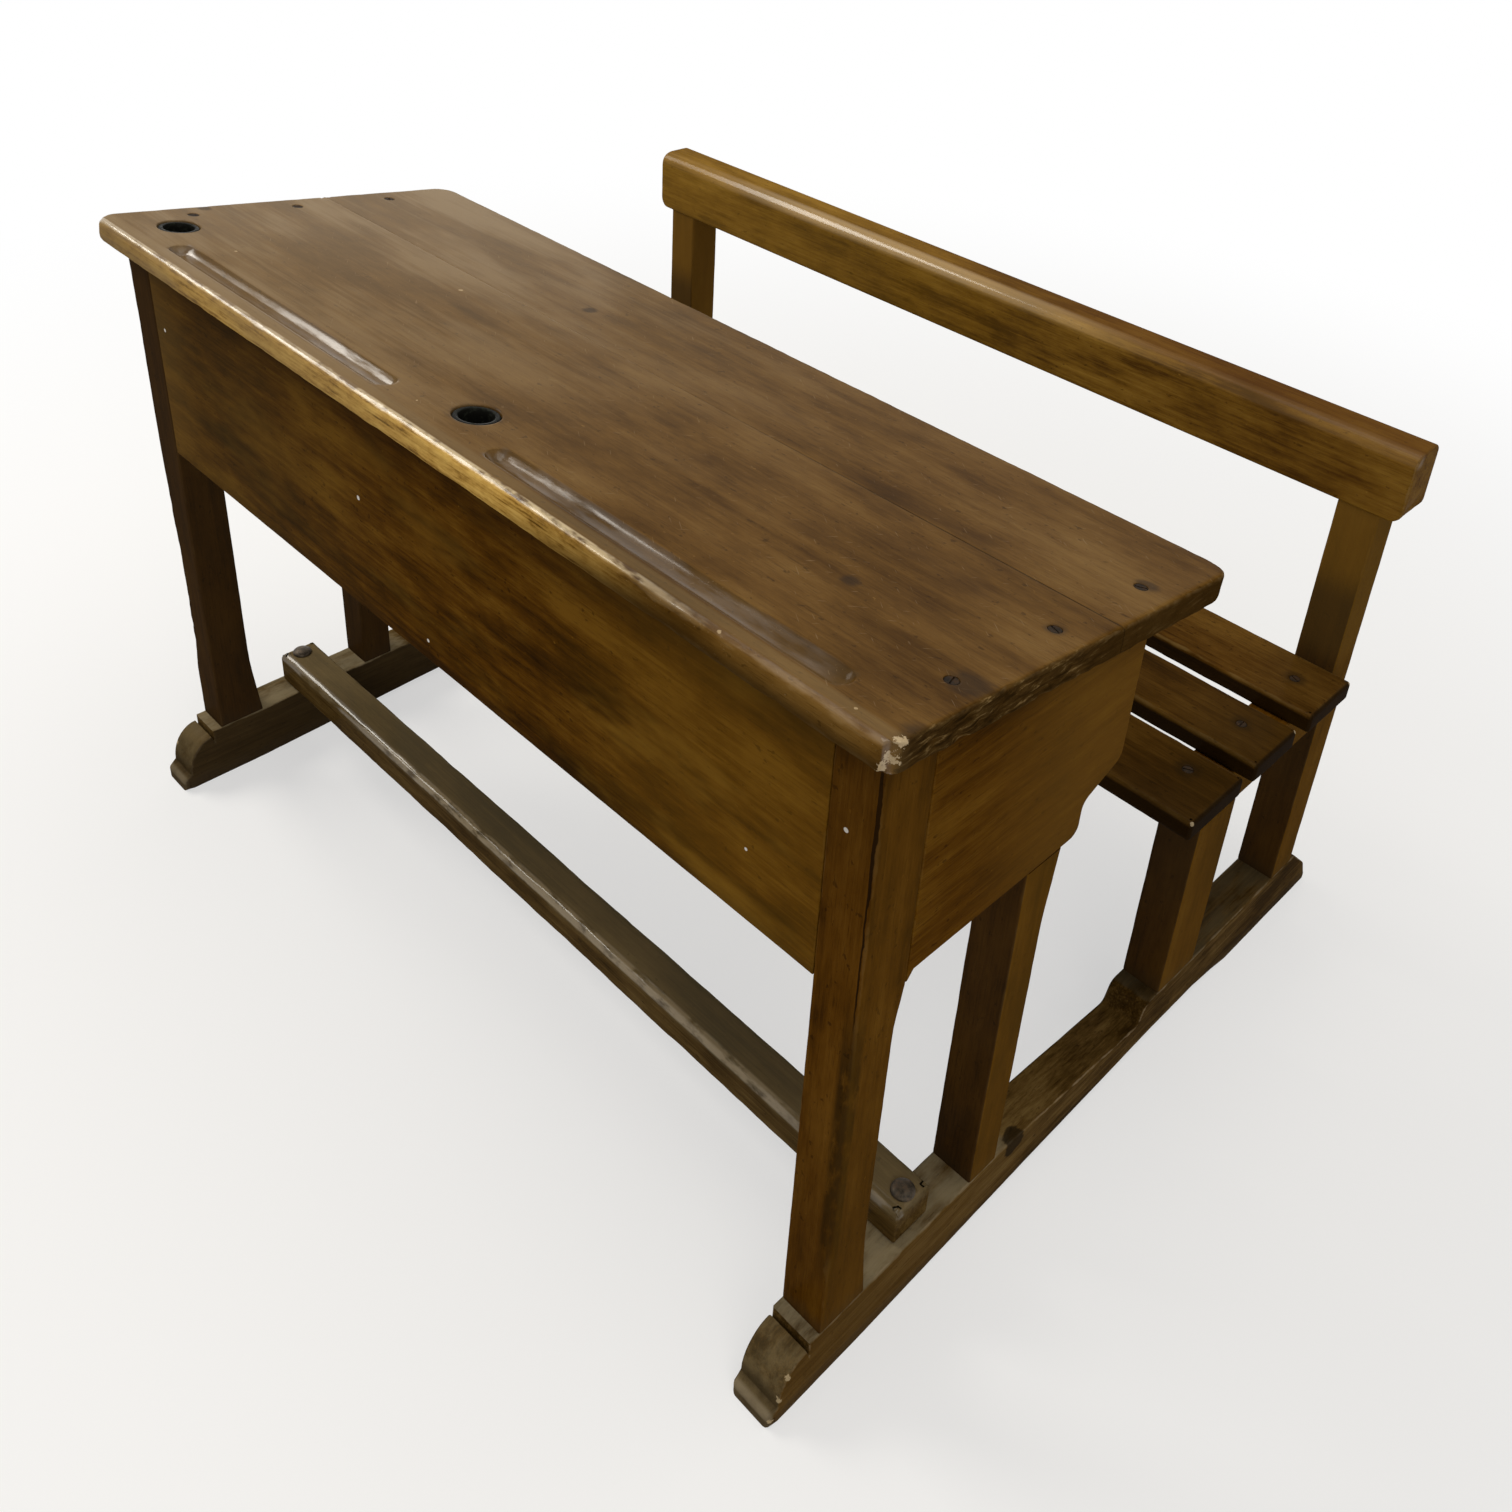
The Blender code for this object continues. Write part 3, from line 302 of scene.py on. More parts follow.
def timber(name, corners, low, high, place, radius=0.002, wear=0.35, step=0.008, rows=0,
           holes=(), inner=(), relief=None, shape=None, seed=0.0):
    """A board or post with softened arrises, as wide as from low to high.

    corners are those of its outline, each with its own rounding. radius is the arris radius or
    a function of outline points and face (1 high, -1 low); wear makes it uneven. step is the
    spacing of the outline's points, rows how many rings divide its sides. holes are (centre,
    rings of (radius, height), through). inner are rings on the high face, which relief sinks.
    shape may move the placed points.
    """
    piece = Piece()
    outline = rounded_outline(corners, step)
    inwards = inward_lines(outline)
    rings = []
    for face, level in ((1, high), (-1, low)):
        base = radius(outline, face) if callable(radius) else np.full(len(outline), radius)
        uneven = rough(outline, 24, seed + face) * 0.7 + rough(outline, 95, seed + face) * 0.5
        soft = base * (1 + wear * uneven)
        side = [piece.add(outline + inwards * (soft + margin)[:, None], level)]
        for k in range(profile_steps + 1):
            turn = math.pi / 2 * k / profile_steps
            inset = soft * (1 - math.sin(turn))
            drop = soft * (1 - math.cos(turn))
            side.append(piece.add(outline + inwards * inset[:, None], level - face * drop,
                                  0.5 + 0.5 * math.sin(2 * turn)))
        side.append(piece.add(outline, level - face * (soft + margin)))
        rings.append(side)
    top, bottom = rings
    upper, lower = (np.array([piece.points[n][2] for n in side[-1]]) for side in rings)
    between = [piece.add(outline, upper + (lower - upper) * ((k + 1) / (rows + 1)))
               for k in range(rows)]
    chain = top + between + bottom[::-1]
    for upper, lower in zip(chain, chain[1:]):
        piece.wall(upper, lower)
    high_holes, low_holes = [], []
    for centre, profile, through in holes:
        bores = [piece.add(ring_points(centre, r, 40), w) for r, w in profile]
        for upper, lower in zip(bores, bores[1:]):
            piece.wall(lower, upper)
        high_holes.append(bores[0])
        if through:
            low_holes.append(bores[-1])
        else:
            piece.faces.append(tuple(bores[-1]))
    piece.cap(top[0], high_holes, high, inner, relief)
    piece.cap(bottom[0], low_holes, low)
    return make_object(name, piece, place, shape)


def turned(name, profile, place, centre, count=48, wobble=0.0):
    """A piece turned on a lathe from (radius, height) points, about an axis at centre."""
    piece = Piece()
    rings = []
    for number, (radius, height) in enumerate(profile):
        ring = ring_points(centre, max(radius, 1e-5), count)
        uneven = wobble * rough(ring, 300, number * 0.7)
        rings.append(piece.add(ring, height + uneven * (radius > 0)))
    for upper, lower in zip(rings, rings[1:]):
        piece.wall(upper, lower)
    for end in (rings[0], rings[-1]):
        piece.faces.append(tuple(end))
    return make_object(name, piece, place)


def carve(piece, cutter):
    """Cuts one closed object out of a piece and takes the cutter away."""
    change = piece.modifiers.new("cut", "BOOLEAN")
    change.operation, change.solver, change.object = "DIFFERENCE", "EXACT", cutter
    bpy.context.view_layer.update()
    cut = bpy.data.meshes.new_from_object(
        piece.evaluated_get(bpy.context.evaluated_depsgraph_get()))
    piece.modifiers.clear()
    if len(cut.polygons) < 10:
        raise RuntimeError(f"the cut left nothing of {piece.name}")
    cut.name = piece.name
    piece.data = cut
    bpy.data.objects.remove(cutter)
    cut.shade_smooth()
    cut.set_sharp_from_angle(angle=sharp_angle)


def fit(piece, finish, node, body="desk"):
    """Gives a piece its finish and sets it on its body in place of a CAD node."""
    piece.data.materials.clear()
    piece.data.materials.append(finish)
    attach(piece, body)
    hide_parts(node)


# Finishes

class Value:
    """The output of a node, used in plain arithmetic."""

    def __init__(self, finish, socket):
        self.finish, self.socket = finish, socket

    def work(self, operation, first, second=0.0):
        return self.finish.node("ShaderNodeMath", {"operation": operation},
                                {0: first, 1: second})["Value"]

    def __add__(self, other):
        return self.work("ADD", self, other)

    def __radd__(self, other):
        return self.work("ADD", other, self)

    def __sub__(self, other):
        return self.work("SUBTRACT", self, other)

    def __rsub__(self, other):
        return self.work("SUBTRACT", other, self)

    def __mul__(self, other):
        return self.work("MULTIPLY", self, other)

    def __rmul__(self, other):
        return self.work("MULTIPLY", other, self)

    def __abs__(self):
        return self.work("ABSOLUTE", self)


class Made:
    """A node just made; its outputs are taken by name."""

    def __init__(self, finish, node):
        self.finish, self.made = finish, node

    def __getitem__(self, name):
        live = [s for s in self.made.outputs if s.name == name and s.enabled]
        return Value(self.finish, live[0])


class Finish:
    """A material or world and the ways in which its nodes are made."""

    def __init__(self, owner):
        self.owner = owner
        self.owner.use_nodes = True
        self.tree = self.owner.node_tree
        self.tree.nodes.clear()
        self.place = self.node("ShaderNodeTexCoord", {}, {})["Object"]

    def node(self, kind, settings, sockets):
        """A node of a kind, its settings set first and then its sockets filled or linked."""
        made = self.tree.nodes.new(kind)
        for name, value in settings.items():
            if name == "stops":
                ramp = made.color_ramp.elements
                while len(ramp) < len(value):
                    ramp.new(1.0)
                for element, (at, colour) in zip(ramp, value):
                    element.position, element.color = at, (*colour, 1.0)
            else:
                setattr(made, name, value)
        for name, value in sockets.items():
            live = [s for s in made.inputs if s.name == name and s.enabled]
            socket = made.inputs[name] if isinstance(name, int) else live[0]
            if isinstance(value, Value):
                self.tree.links.new(value.socket, socket)
            elif isinstance(value, tuple) and len(value) == 3 and len(socket.default_value) == 4:
                socket.default_value = (*value, 1.0)
            else:
                socket.default_value = value
        return Made(self, made)

    def stretched(self, scale, shift=(0.0, 0.0, 0.0)):
        """The place on the piece, stretched and shifted."""
        return self.node("ShaderNodeMapping", {}, {
            "Vector": self.place, "Scale": scale, "Location": shift})["Vector"]

    def clouds(self, vector, detail, rough_share, scale=1.0):
        """Soft noise about 0.5."""
        return self.node("ShaderNodeTexNoise", {}, {
            "Vector": vector, "Scale": scale, "Detail": detail,
            "Roughness": rough_share})["Fac"]

    def rise(self, value, low, high):
        """0 where the value is under low, 1 where it is over high."""
        return self.node("ShaderNodeMapRange", {"interpolation_type": "SMOOTHSTEP"}, {
            "Value": value, "From Min": low, "From Max": high})["Result"]

    def fall(self, value, low, high):
        """1 where the value is under low, 0 where it is over high."""
        return 1 - self.rise(value, low, high)

    def band(self, value, start, full, fade, end):
        """1 where the value is from full to fade, 0 before start and after end."""
        return self.rise(value, start, full) * self.fall(value, fade, end)

    def blend(self, share, first, second):
        """One colour laid over another by a share."""
        return self.node("ShaderNodeMix", {"data_type": "RGBA"}, {
            "Factor": share, "A": first, "B": second})["Result"]

    def ramp(self, value, *stops):
        """A colour for each value, between stops."""
        return self.node("ShaderNodeValToRGB", {"stops": stops}, {"Fac": value})["Color"]

    def parts(self, axes="XYZ"):
        """The place's coordinates along some axes."""
        split = self.node("ShaderNodeSeparateXYZ", {}, {"Vector": self.place})
        return [split[axis] for axis in axes]

    def facing(self, axis, side):
        """1 on faces turned to one side along an axis, 0 on the others."""
        turned_to = self.node("ShaderNodeTexCoord", {}, {})["Normal"]
        split = self.node("ShaderNodeSeparateXYZ", {}, {"Vector": turned_to})
        return self.rise(split[axis] * side, 0.55, 0.85)

    def most(self, first, second):
        """The larger of two values."""
        return first.work("MAXIMUM", first, second)

    def spots(self, places):
        """1 at the middle of each (place, radius) spot, less than 0 beyond its rim."""
        found = None
        for centre, radius in places:
            far = self.node("ShaderNodeVectorMath", {"operation": "DISTANCE"}, {
                0: self.place, 1: centre})["Value"]
            near = 1 - far * (1 / radius)
            found = near if found is None else self.most(found, near)
        return found

    def pale_rays(self):
        """1 for rays that see the pale room: the camera's, mirrored and transmitted ones."""
        path = self.node("ShaderNodeLightPath", {}, {})
        return self.most(self.most(path["Is Camera Ray"], path["Is Glossy Ray"]),
                         path["Is Transmission Ray"])

    def done(self, colour, roughness, height, strength, distance, **constants):
        """Closes the finish with its shader and gives the material."""
        sockets = {"Base Color": colour, "Roughness": roughness}
        sockets |= {name.replace("_", " "): value for name, value in constants.items()}
        sockets["Normal"] = self.node("ShaderNodeBump", {}, {
            "Height": height, "Strength": strength, "Distance": distance})["Normal"]
        shader = self.node("ShaderNodeBsdfPrincipled", {}, sockets)["BSDF"]
        self.node("ShaderNodeOutputMaterial", {}, {"Surface": shader})
        return self.owner


class Wood(Finish):
    """Old varnished wood with its grain along an axis, ready to take marks.

    tones are its dark, middle and light colours; patch and stripe say how strong its broad
    and its narrow figure is; bare is the colour where its varnish is rubbed off.
    """

    def __init__(self, owner, axis, tones, seed, sheen, bare, bare_share, patch, stripe, coat):
        super().__init__(owner)
        shift = (seed * 1.7, seed * 2.3, seed * 3.1)

        def grain(length, across, detail, rough_share):
            """Noise drawn out along the grain."""
            scale = [across] * 3
            scale["XYZ".index(axis)] = length
            return self.clouds(self.stretched(tuple(scale), shift), detail, rough_share)

        self.fine = grain(14, 520, 3.0, 0.65)
        self.streak = grain(4.5, 150, 5.0, 0.68)
        self.mottle = grain(14, 46, 5.0, 0.66)
        self.cloud = grain(4.5, 13, 3.0, 0.55)
        self.rub = grain(40, 110, 3.0, 0.6)
        pores = self.rise(grain(60, 1500, 1.0, 0.5), 0.58, 0.72)
        grit = grain(130, 210, 2.0, 0.5)
        dents, specks = self.rise(grit, 0.66, 0.74), self.rise(grit, 0.25, 0.20)
        tone = (0.5 + (self.fine - 0.5) * (1.3 * stripe) + (self.streak - 0.5) * (1.6 * stripe)
                + (self.mottle - 0.5) * (0.9 * patch) + (self.cloud - 0.5) * (1.1 * patch))
        dark, middle, light = tones
        deep = shaded(dark, 0.40)
        self.colour = self.ramp(tone, (0.08, deep), (0.32, dark), (0.52, middle), (0.80, light))
        self.lay(pores * 0.40, deep)
        self.lay(dents * 0.55, deep)
        self.lay(specks * 0.40, shaded(light, 1.5))
        arris = self.node("ShaderNodeAttribute", {"attribute_name": "arris"}, {})["Fac"]
        rubbed = self.rise(arris * 0.55 + self.rub, 0.88, 1.15)
        self.lay(rubbed * bare_share, bare)
        self.roughness = (sheen + (self.cloud - 0.5) * 0.25 + (self.fine - 0.5) * 0.20
                          + rubbed * 0.08)
        self.height = self.fine * 0.35 + self.mottle * 0.5 - pores * 0.5 - dents * 0.8
        self.coat = coat

    def lay(self, share, colour):
        """Lays a colour over the wood by a share."""
        self.colour = self.blend(share, self.colour, colour)

    def wavy(self, value, amount, layer=None):
        """A value made uneven by one of the wood's layers, or else where it is rubbed."""
        return value + ((layer or self.rub) - 0.5) * amount

    def patches(self, places, ragged, low, high, layer=None):
        """1 within (place, radius) spots with ragged rims."""
        return self.rise(self.wavy(self.spots(places), ragged, layer), low, high)

    def flecks(self, places, paint):
        """Lays small flecks of pale paint at places."""
        share = self.patches(places, 0.8, 0.2, 0.4)
        self.lay(share, paint)
        self.roughness = self.roughness + share * 0.3


def shaded(colour, share):
    """A colour made darker or lighter by a share."""
    return tuple(min(1.0, share * part) for part in colour)


def made_once(maker):
    """Lets a maker give the finish that has the name, if there is one."""
    def give(name, *arguments, **settings):
        return bpy.data.materials.get(name) or maker(name, *arguments, **settings)
    return give


@made_once
def wood_finish(name, axis, tones, seed, sheen=0.40, bare=(0.30, 0.19, 0.08), bare_share=0.35,
                patch=0.7, stripe=0.6, coat=0.015, coat_blur=0.20, relief=0.35, marks=None):
    """Old varnished wood; marks may be a function that lays more marks on it."""
    wood = Wood(bpy.data.materials.new(name), axis, tones, seed, sheen, bare, bare_share,
                patch, stripe, coat)
    if marks:
        marks(wood)
    return wood.done(wood.colour, wood.roughness, wood.height, relief, 0.0006,
                     Coat_Weight=wood.coat, Coat_Roughness=coat_blur, Coat_IOR=1.45,
                     Specular_IOR_Level=0.0)


@made_once
def steel_finish(name, colour, rust, polish):
    """Old darkened steel, rusty in places; polish is 0 for dull and 1 for rubbed bright."""
    steel = Finish(bpy.data.materials.new(name))
    fine = steel.clouds(steel.place, 3.0, 0.6, 900.0)
    broad = steel.clouds(steel.place, 2.0, 0.5, 220.0)
    shade = steel.ramp(broad * 0.6 + fine * 0.4, (0.36, shaded(colour, 0.35)), (0.50, colour),
                       (0.62, rust), (0.72, shaded(colour, 2.4)))
    metal = 0.35 + 0.45 * polish - steel.rise(broad, 0.46, 0.60) * 0.3
    return steel.done(shade, 0.58 - 0.28 * polish + fine * 0.25, fine + broad, 0.35, 0.0003,
                      Metallic=metal, Specular_IOR_Level=0.10 + 0.40 * polish)


@made_once
def glaze_finish(name, colour):
    """Black glazed ware with a little dried ink and dust in it."""
    glaze = Finish(bpy.data.materials.new(name))
    spots = glaze.clouds(glaze.place, 3.0, 0.6, 260.0)
    dust = glaze.rise(spots, 0.52, 0.66)
    shade = glaze.blend(dust * 0.35, colour, (0.040, 0.046, 0.034))
    return glaze.done(shade, 0.30 + dust * 0.40, spots, 0.25, 0.0006, Specular_IOR_Level=0.02)


# Marks on the wood, with painted light and shade

def on_top(*spots):
    """Spots on the top, each given along it, down its fall, above it and by its radius."""
    return [(tuple(top_place(np.array([[u, v, w]]))[0]), radius) for u, v, w, radius in spots]


def top_marks(wood):
    """The top's rubbed front edge with a painted highlight, a pale haze of dust and painted sheen,
    painted shade in the grooves and on the end faces, ink and screw stains and torn end.
    """
    x, y, z = wood.parts()
    bare_wood = tuple(bpy.context.scene.school_desk_colours.bare_wood)

    front = wood.fall(y, -0.3772, -0.3742)
    rubbed = wood.rise(front * 0.72 + wood.rub * 0.55 + wood.fine * 0.25, 0.78, 1.10)
    chewed = wood.clouds(wood.stretched((55, 170, 170), (2, 5, 1)), 4.0, 0.7)
    ochre = wood.ramp(wood.fine * 0.35 + wood.mottle * 0.25 + chewed * 0.40,
                      (0.37, (0.060, 0.026, 0.004)), (0.43, (0.30, 0.158, 0.028)),
                      (0.50, (0.56, 0.330, 0.074)), (0.60, bare_wood))
    browner = wood.most(wood.rise(x, 0.11, 0.32) * 0.90, wood.fall(x, -0.47, -0.33) * 0.45)
    wood.lay(rubbed * (0.92 - browner) * front, ochre)

    in_groove = 0.0
    for start, end in groove_spans:
        in_groove = wood.band(x, start, start + 0.006, end - 0.006, end) + in_groove
    polished = in_groove * wood.fall(abs(y - fall_y(groove_middle)), 0.0095, 0.0125)
    lip = wood.band(y, -0.3780, -0.3762, -0.3735, -0.3715)
    shine = wood.clouds(wood.stretched((16, 90, 90), (3, 0, 0)), 3.0, 0.6)
    ends = wood.rise(x, -0.30, -0.08) + wood.fall(x, -0.372, -0.350)
    satin = wood.fall(abs(x), 0.483, 0.488) * (1 - front)
    wood.coat = (satin * (0.10 + wood.cloud * 0.10)
                 + polished * wood.rise(shine, 0.36, 0.60) * (0.11 + ends * 0.85)
                 * wood.fall(x, 0.395, 0.425)
                 + lip * (0.50 + wood.rise(wood.rub, 0.38, 0.62) * 0.50))
    # Darker inside the pen grooves: painted shade.
    wood.lay(polished * 0.36, (0.062, 0.0450, 0.0210))
    strip = wood.band(y, -0.3735, -0.3700, -0.3640, -0.3600)
    wood.lay(strip * 0.25, (0.270, 0.1950, 0.0950))
    # A pale band along the front arris: partly bare worn wood, mostly a painted highlight.
    bright = lip * wood.fall(x, 0.20, 0.36) * wood.rise(wood.rub, 0.36, 0.56)
    wood.lay(bright * 0.60, (0.80, 0.640, 0.370))

    for lean, shift in ((0.6, 4.0), (-0.9, 7.0)):
        leaning = wood.node("ShaderNodeMapping", {}, {
            "Vector": wood.place, "Rotation": (0.0, 0.0, lean)})["Vector"]
        strokes = wood.node("ShaderNodeMapping", {}, {
            "Vector": leaning, "Scale": (34, 700, 700), "Location": (shift,) * 3})["Vector"]
        scratch = wood.rise(wood.clouds(strokes, 1.0, 0.4), 0.735, 0.79)
        wood.lay(scratch * 0.30, (0.30, 0.205, 0.110))
    seam_line = wood.fall(abs(y - fall_y(seam_fall)), 0.0003, 0.0012) * wood.rise(x, -0.10, 0.42)
    wood.lay(seam_line * 0.75, (0.016, 0.009, 0.003))
    # A pale haze, strongest to the left: partly dust and rubbed varnish in patches, mostly painted
    # sheen.
    worn_off = wood.rise(wood.cloud + wood.streak * 0.4, 0.62, 0.85)
    dust_and_painted_sheen = (0.42 + worn_off * 0.44) * wood.fall(x, -0.50, 0.32) * (1 - polished * 0.8)
    wood.lay(dust_and_painted_sheen, (0.238, 0.1680, 0.0900))
    stain = wood.patches(on_top(
        (0.474, 0.089, 0, 0.020), (0.464, 0.190, 0, 0.011), (0.466, 0.297, 0, 0.012),
        (0.490, 0.024, 0, 0.016), (-0.480, 0.103, 0, 0.010), (-0.434, 0.0555, 0, 0.024),
        (0.034, 0.0555, 0, 0.025), (0.352, 0.118, 0, 0.010), (-0.114, 0.279, 0, 0.009)),
        0.9, 0.05, 0.65)
    wood.lay(stain * 0.62, (0.018, 0.012, 0.008))

    end = wood.rise(x, 0.4850, 0.4885)
    fibres = wood.clouds(wood.stretched((200, 42, 330)), 4.0, 0.7)
    torn = wood.ramp(fibres, (0.38, (0.010, 0.006, 0.002)), (0.47, (0.038, 0.020, 0.006)),
                     (0.57, (0.068, 0.040, 0.012)), (0.68, (0.28, 0.185, 0.078)))
    stretch = wood.band(y, -0.372, -0.350, -0.215, -0.150)
    # The end faces painted darker: painted shade.
    wood.lay(wood.rise(abs(x), 0.4865, 0.4905) * 0.84, (0.030, 0.0155, 0.0040))
    below = wood.fall(z, 0.6235, 0.6330) * wood.rise(x, 0.08, 0.30) * front
    wood.lay(below * 0.72, (0.036, 0.0190, 0.0050))
    wood.lay(end * (0.12 + stretch * 0.58), torn)
    crumb = wood.clouds(wood.place, 3.0, 0.7, 330.0)
    raw = wood.patches(on_top(
        (0.4860, 0.0120, -0.0010, 0.0050), (0.4860, 0.0070, -0.0110, 0.0065),
        (0.4835, 0.0040, -0.0165, 0.0050)), 2.4, 0.30, 0.42, crumb)
    wood.lay(raw, wood.blend(crumb, (0.25, 0.17, 0.08), (0.62, 0.50, 0.33)))
    pale = wood.patches(on_top(
        (-0.355, 0.070, 0, 0.0022), (-0.109, 0.031, 0, 0.0016), (-0.006, 0.031, 0, 0.0014),
        (0.141, 0.0035, 0, 0.0020), (0.232, 0.0025, 0, 0.0022), (0.352, 0.0030, 0, 0.0026),
        (0.452, 0.0130, 0, 0.0016), (-0.199, 0.200, 0, 0.0030)), 1.2, 0.25, 0.45, crumb)
    wood.lay(pale * 0.75, (0.46, 0.34, 0.19))
    wood.roughness = (wood.roughness + rubbed * front * 0.05 + raw * 0.35 + end * 0.25
                      - stain * 0.05)
    wood.height = wood.height * (1 - polished * 0.8) + end * fibres * 1.5


def front_panel_marks(wood):
    """Cloudy golden streaks, a dull left, the top's painted shadow along the upper part, a dark
    lower edge and pale flecks.
    """
    x, z = wood.parts("XZ")
    glow = wood.rise(wood.clouds(wood.stretched((4.5, 1, 16), (4, 0, 2)), 4.0, 0.65), 0.50, 0.70)
    wood.lay(glow * (0.45 + wood.rise(x, 0.0, 0.25) * 0.40), (0.190, 0.098, 0.012))
    wood.lay(wood.fall(x, -0.30, 0.05) * 0.34, (0.068, 0.0470, 0.0180))
    # The top's shadow painted on the panel's upper part, darkest right under the top's front edge.
    wood.lay(wood.rise(z, 0.555, 0.615) * 0.45, (0.022, 0.010, 0.003))
    wood.lay(wood.rise(x, 0.12, 0.34) * 0.25, (0.205, 0.1050, 0.0120))
    overhang_shadow = wood.rise(wood.wavy(z, 0.02, wood.mottle), 0.588, 0.612)
    wood.lay(overhang_shadow * 0.50, (0.010, 0.0050, 0.0015))
    golden = wood.fall(x + wood.cloud * 0.10, -0.395, -0.300)
    wood.lay(golden * 0.30, (0.19, 0.110, 0.030))
    low = wood.fall(wood.wavy(z, 0.02), 0.409, 0.424)
    wood.lay(low * 0.35, (0.020, 0.010, 0.004))
    wood.flecks([((at_x, leg_front_y, at_z), radius) for at_x, at_z, radius in (
        (-0.415, 0.545, 0.0024), (-0.087, 0.518, 0.0028), (0.003, 0.427, 0.0022),
        (0.368, 0.468, 0.0020))], pale_paint)


def end_panel_marks(wood):
    """A rear half painted lighter and more golden as painted light, and the top's painted shadow.
    """
    y, z = wood.parts("YZ")
    # The rear half painted lighter and more golden: painted light.
    painted_light_rear = wood.rise(y + wood.cloud * 0.04, -0.26, -0.12)
    wood.lay(painted_light_rear * 0.45, (0.185, 0.0950, 0.0160))
    # The top's shadow painted along the board's upper edge.
    upper_edge = under_top(0.0) + leg_front_y * math.tan(top_angle)
    level = wood.wavy(z + y * math.tan(top_angle), 0.012, wood.mottle)
    overhang_shadow = wood.rise(level, upper_edge - 0.034, upper_edge - 0.004)
    wood.lay(overhang_shadow * 0.50, (0.016, 0.0080, 0.0020))


def frame_marks(wood):
    """The split in the right leg, painted shade on its chamfer and on the desk's shaded parts,
    painted light on its lit faces, and soil near the floor.
    """
    x, y, z = wood.parts()
    wander = wood.clouds(wood.stretched((1, 1, 38)), 3.0, 0.6)
    line = x + (wander - 0.5) * 0.0042
    on_front = wood.fall(y, leg_front_y + 0.0030, leg_front_y + 0.0060)
    narrow = wood.fall(z, 0.46, 0.55) * 0.0007 + (wander - 0.5) * 0.0016
    split = (wood.rise(line - narrow, 0.4684, 0.4694) * wood.fall(line + narrow, 0.4712, 0.4722)
             * wood.rise(z, 0.365, 0.430) * wood.fall(z, 0.598, 0.604) * on_front)
    split = wood.rise(wood.wavy(split, 0.9), 0.25, 0.75)
    wood.lay(split * 0.90, (0.010, 0.0045, 0.0015))
    # The chamfer painted dark: painted shade.
    edge = wood.rise(x, 0.4600, 0.4650) * wood.fall(y, leg_front_y + 0.008, leg_front_y + 0.011)
    chamfer = edge * wood.rise(z, 0.110, 0.180) * wood.fall(z, 0.340, 0.430)
    chamfer = chamfer * wood.rise(wood.rub, 0.20, 0.55)
    wood.lay(chamfer * 0.78, (0.016, 0.008, 0.0015))
    fleck = wood.rise(wood.spots([((0.4482, leg_front_y, 0.5415), 0.0023)]), 0.1, 0.3)
    wood.lay(fleck, pale_paint)
    soil = wood.fall(wood.wavy(z, 0.03), 0.064, 0.085)
    wood.lay(soil * 0.35, (0.050, 0.036, 0.020))

    # The rear posts above the seat painted lighter: painted light.
    far = wood.rise(y, 0.29, 0.31) * wood.rise(z, 0.32, 0.36)
    wood.lay(far * 0.62, (0.165, 0.0880, 0.0160))
    # The left leg and upright, and the front faces behind the front legs, deepest under the seat,
    # painted darker: painted shade.
    left = wood.fall(x, -0.425, -0.400) * wood.fall(y, -0.145, -0.140)
    behind = (wood.rise(y, -0.200, -0.190) * wood.fall(z, 0.40, 0.44)
              * wood.facing("Y", -1))
    deep = wood.band(z, 0.10, 0.26, 0.31, 0.32) * behind * wood.rise(y, 0.08, 0.09)
    painted_shade = wood.most(left * 0.72, behind * 0.58 + deep * 0.18)
    wood.lay(painted_shade, (0.026, 0.0172, 0.0092))
    foot = wood.fall(z, 0.10, 0.40) * wood.fall(y, -0.300, -0.290) * (1 - left)
    wood.lay(foot * 0.30, (0.040, 0.0180, 0.0025))
    # The outer faces turned to the right painted lighter: painted light.
    painted_light_side = (wood.facing("X", 1) * wood.rise(x, 0.470, 0.4725)
              * (0.5 + wood.rise(y, -0.300, -0.190) * 0.5))
    wood.lay(painted_light_side * 0.46, (0.150, 0.0760, 0.0090))
    upper = wood.rise(z + wood.cloud * 0.05, 0.46, 0.62) * on_front
    wood.lay(upper * 0.24, (0.034, 0.0150, 0.0030))
    # Darker just under the top: painted shade.
    under = wood.rise(z, 0.575, 0.612) * wood.fall(y, -0.12, -0.10)
    wood.lay(under * 0.35, (0.016, 0.008, 0.002))
    wood.height = wood.height - split * 3.0


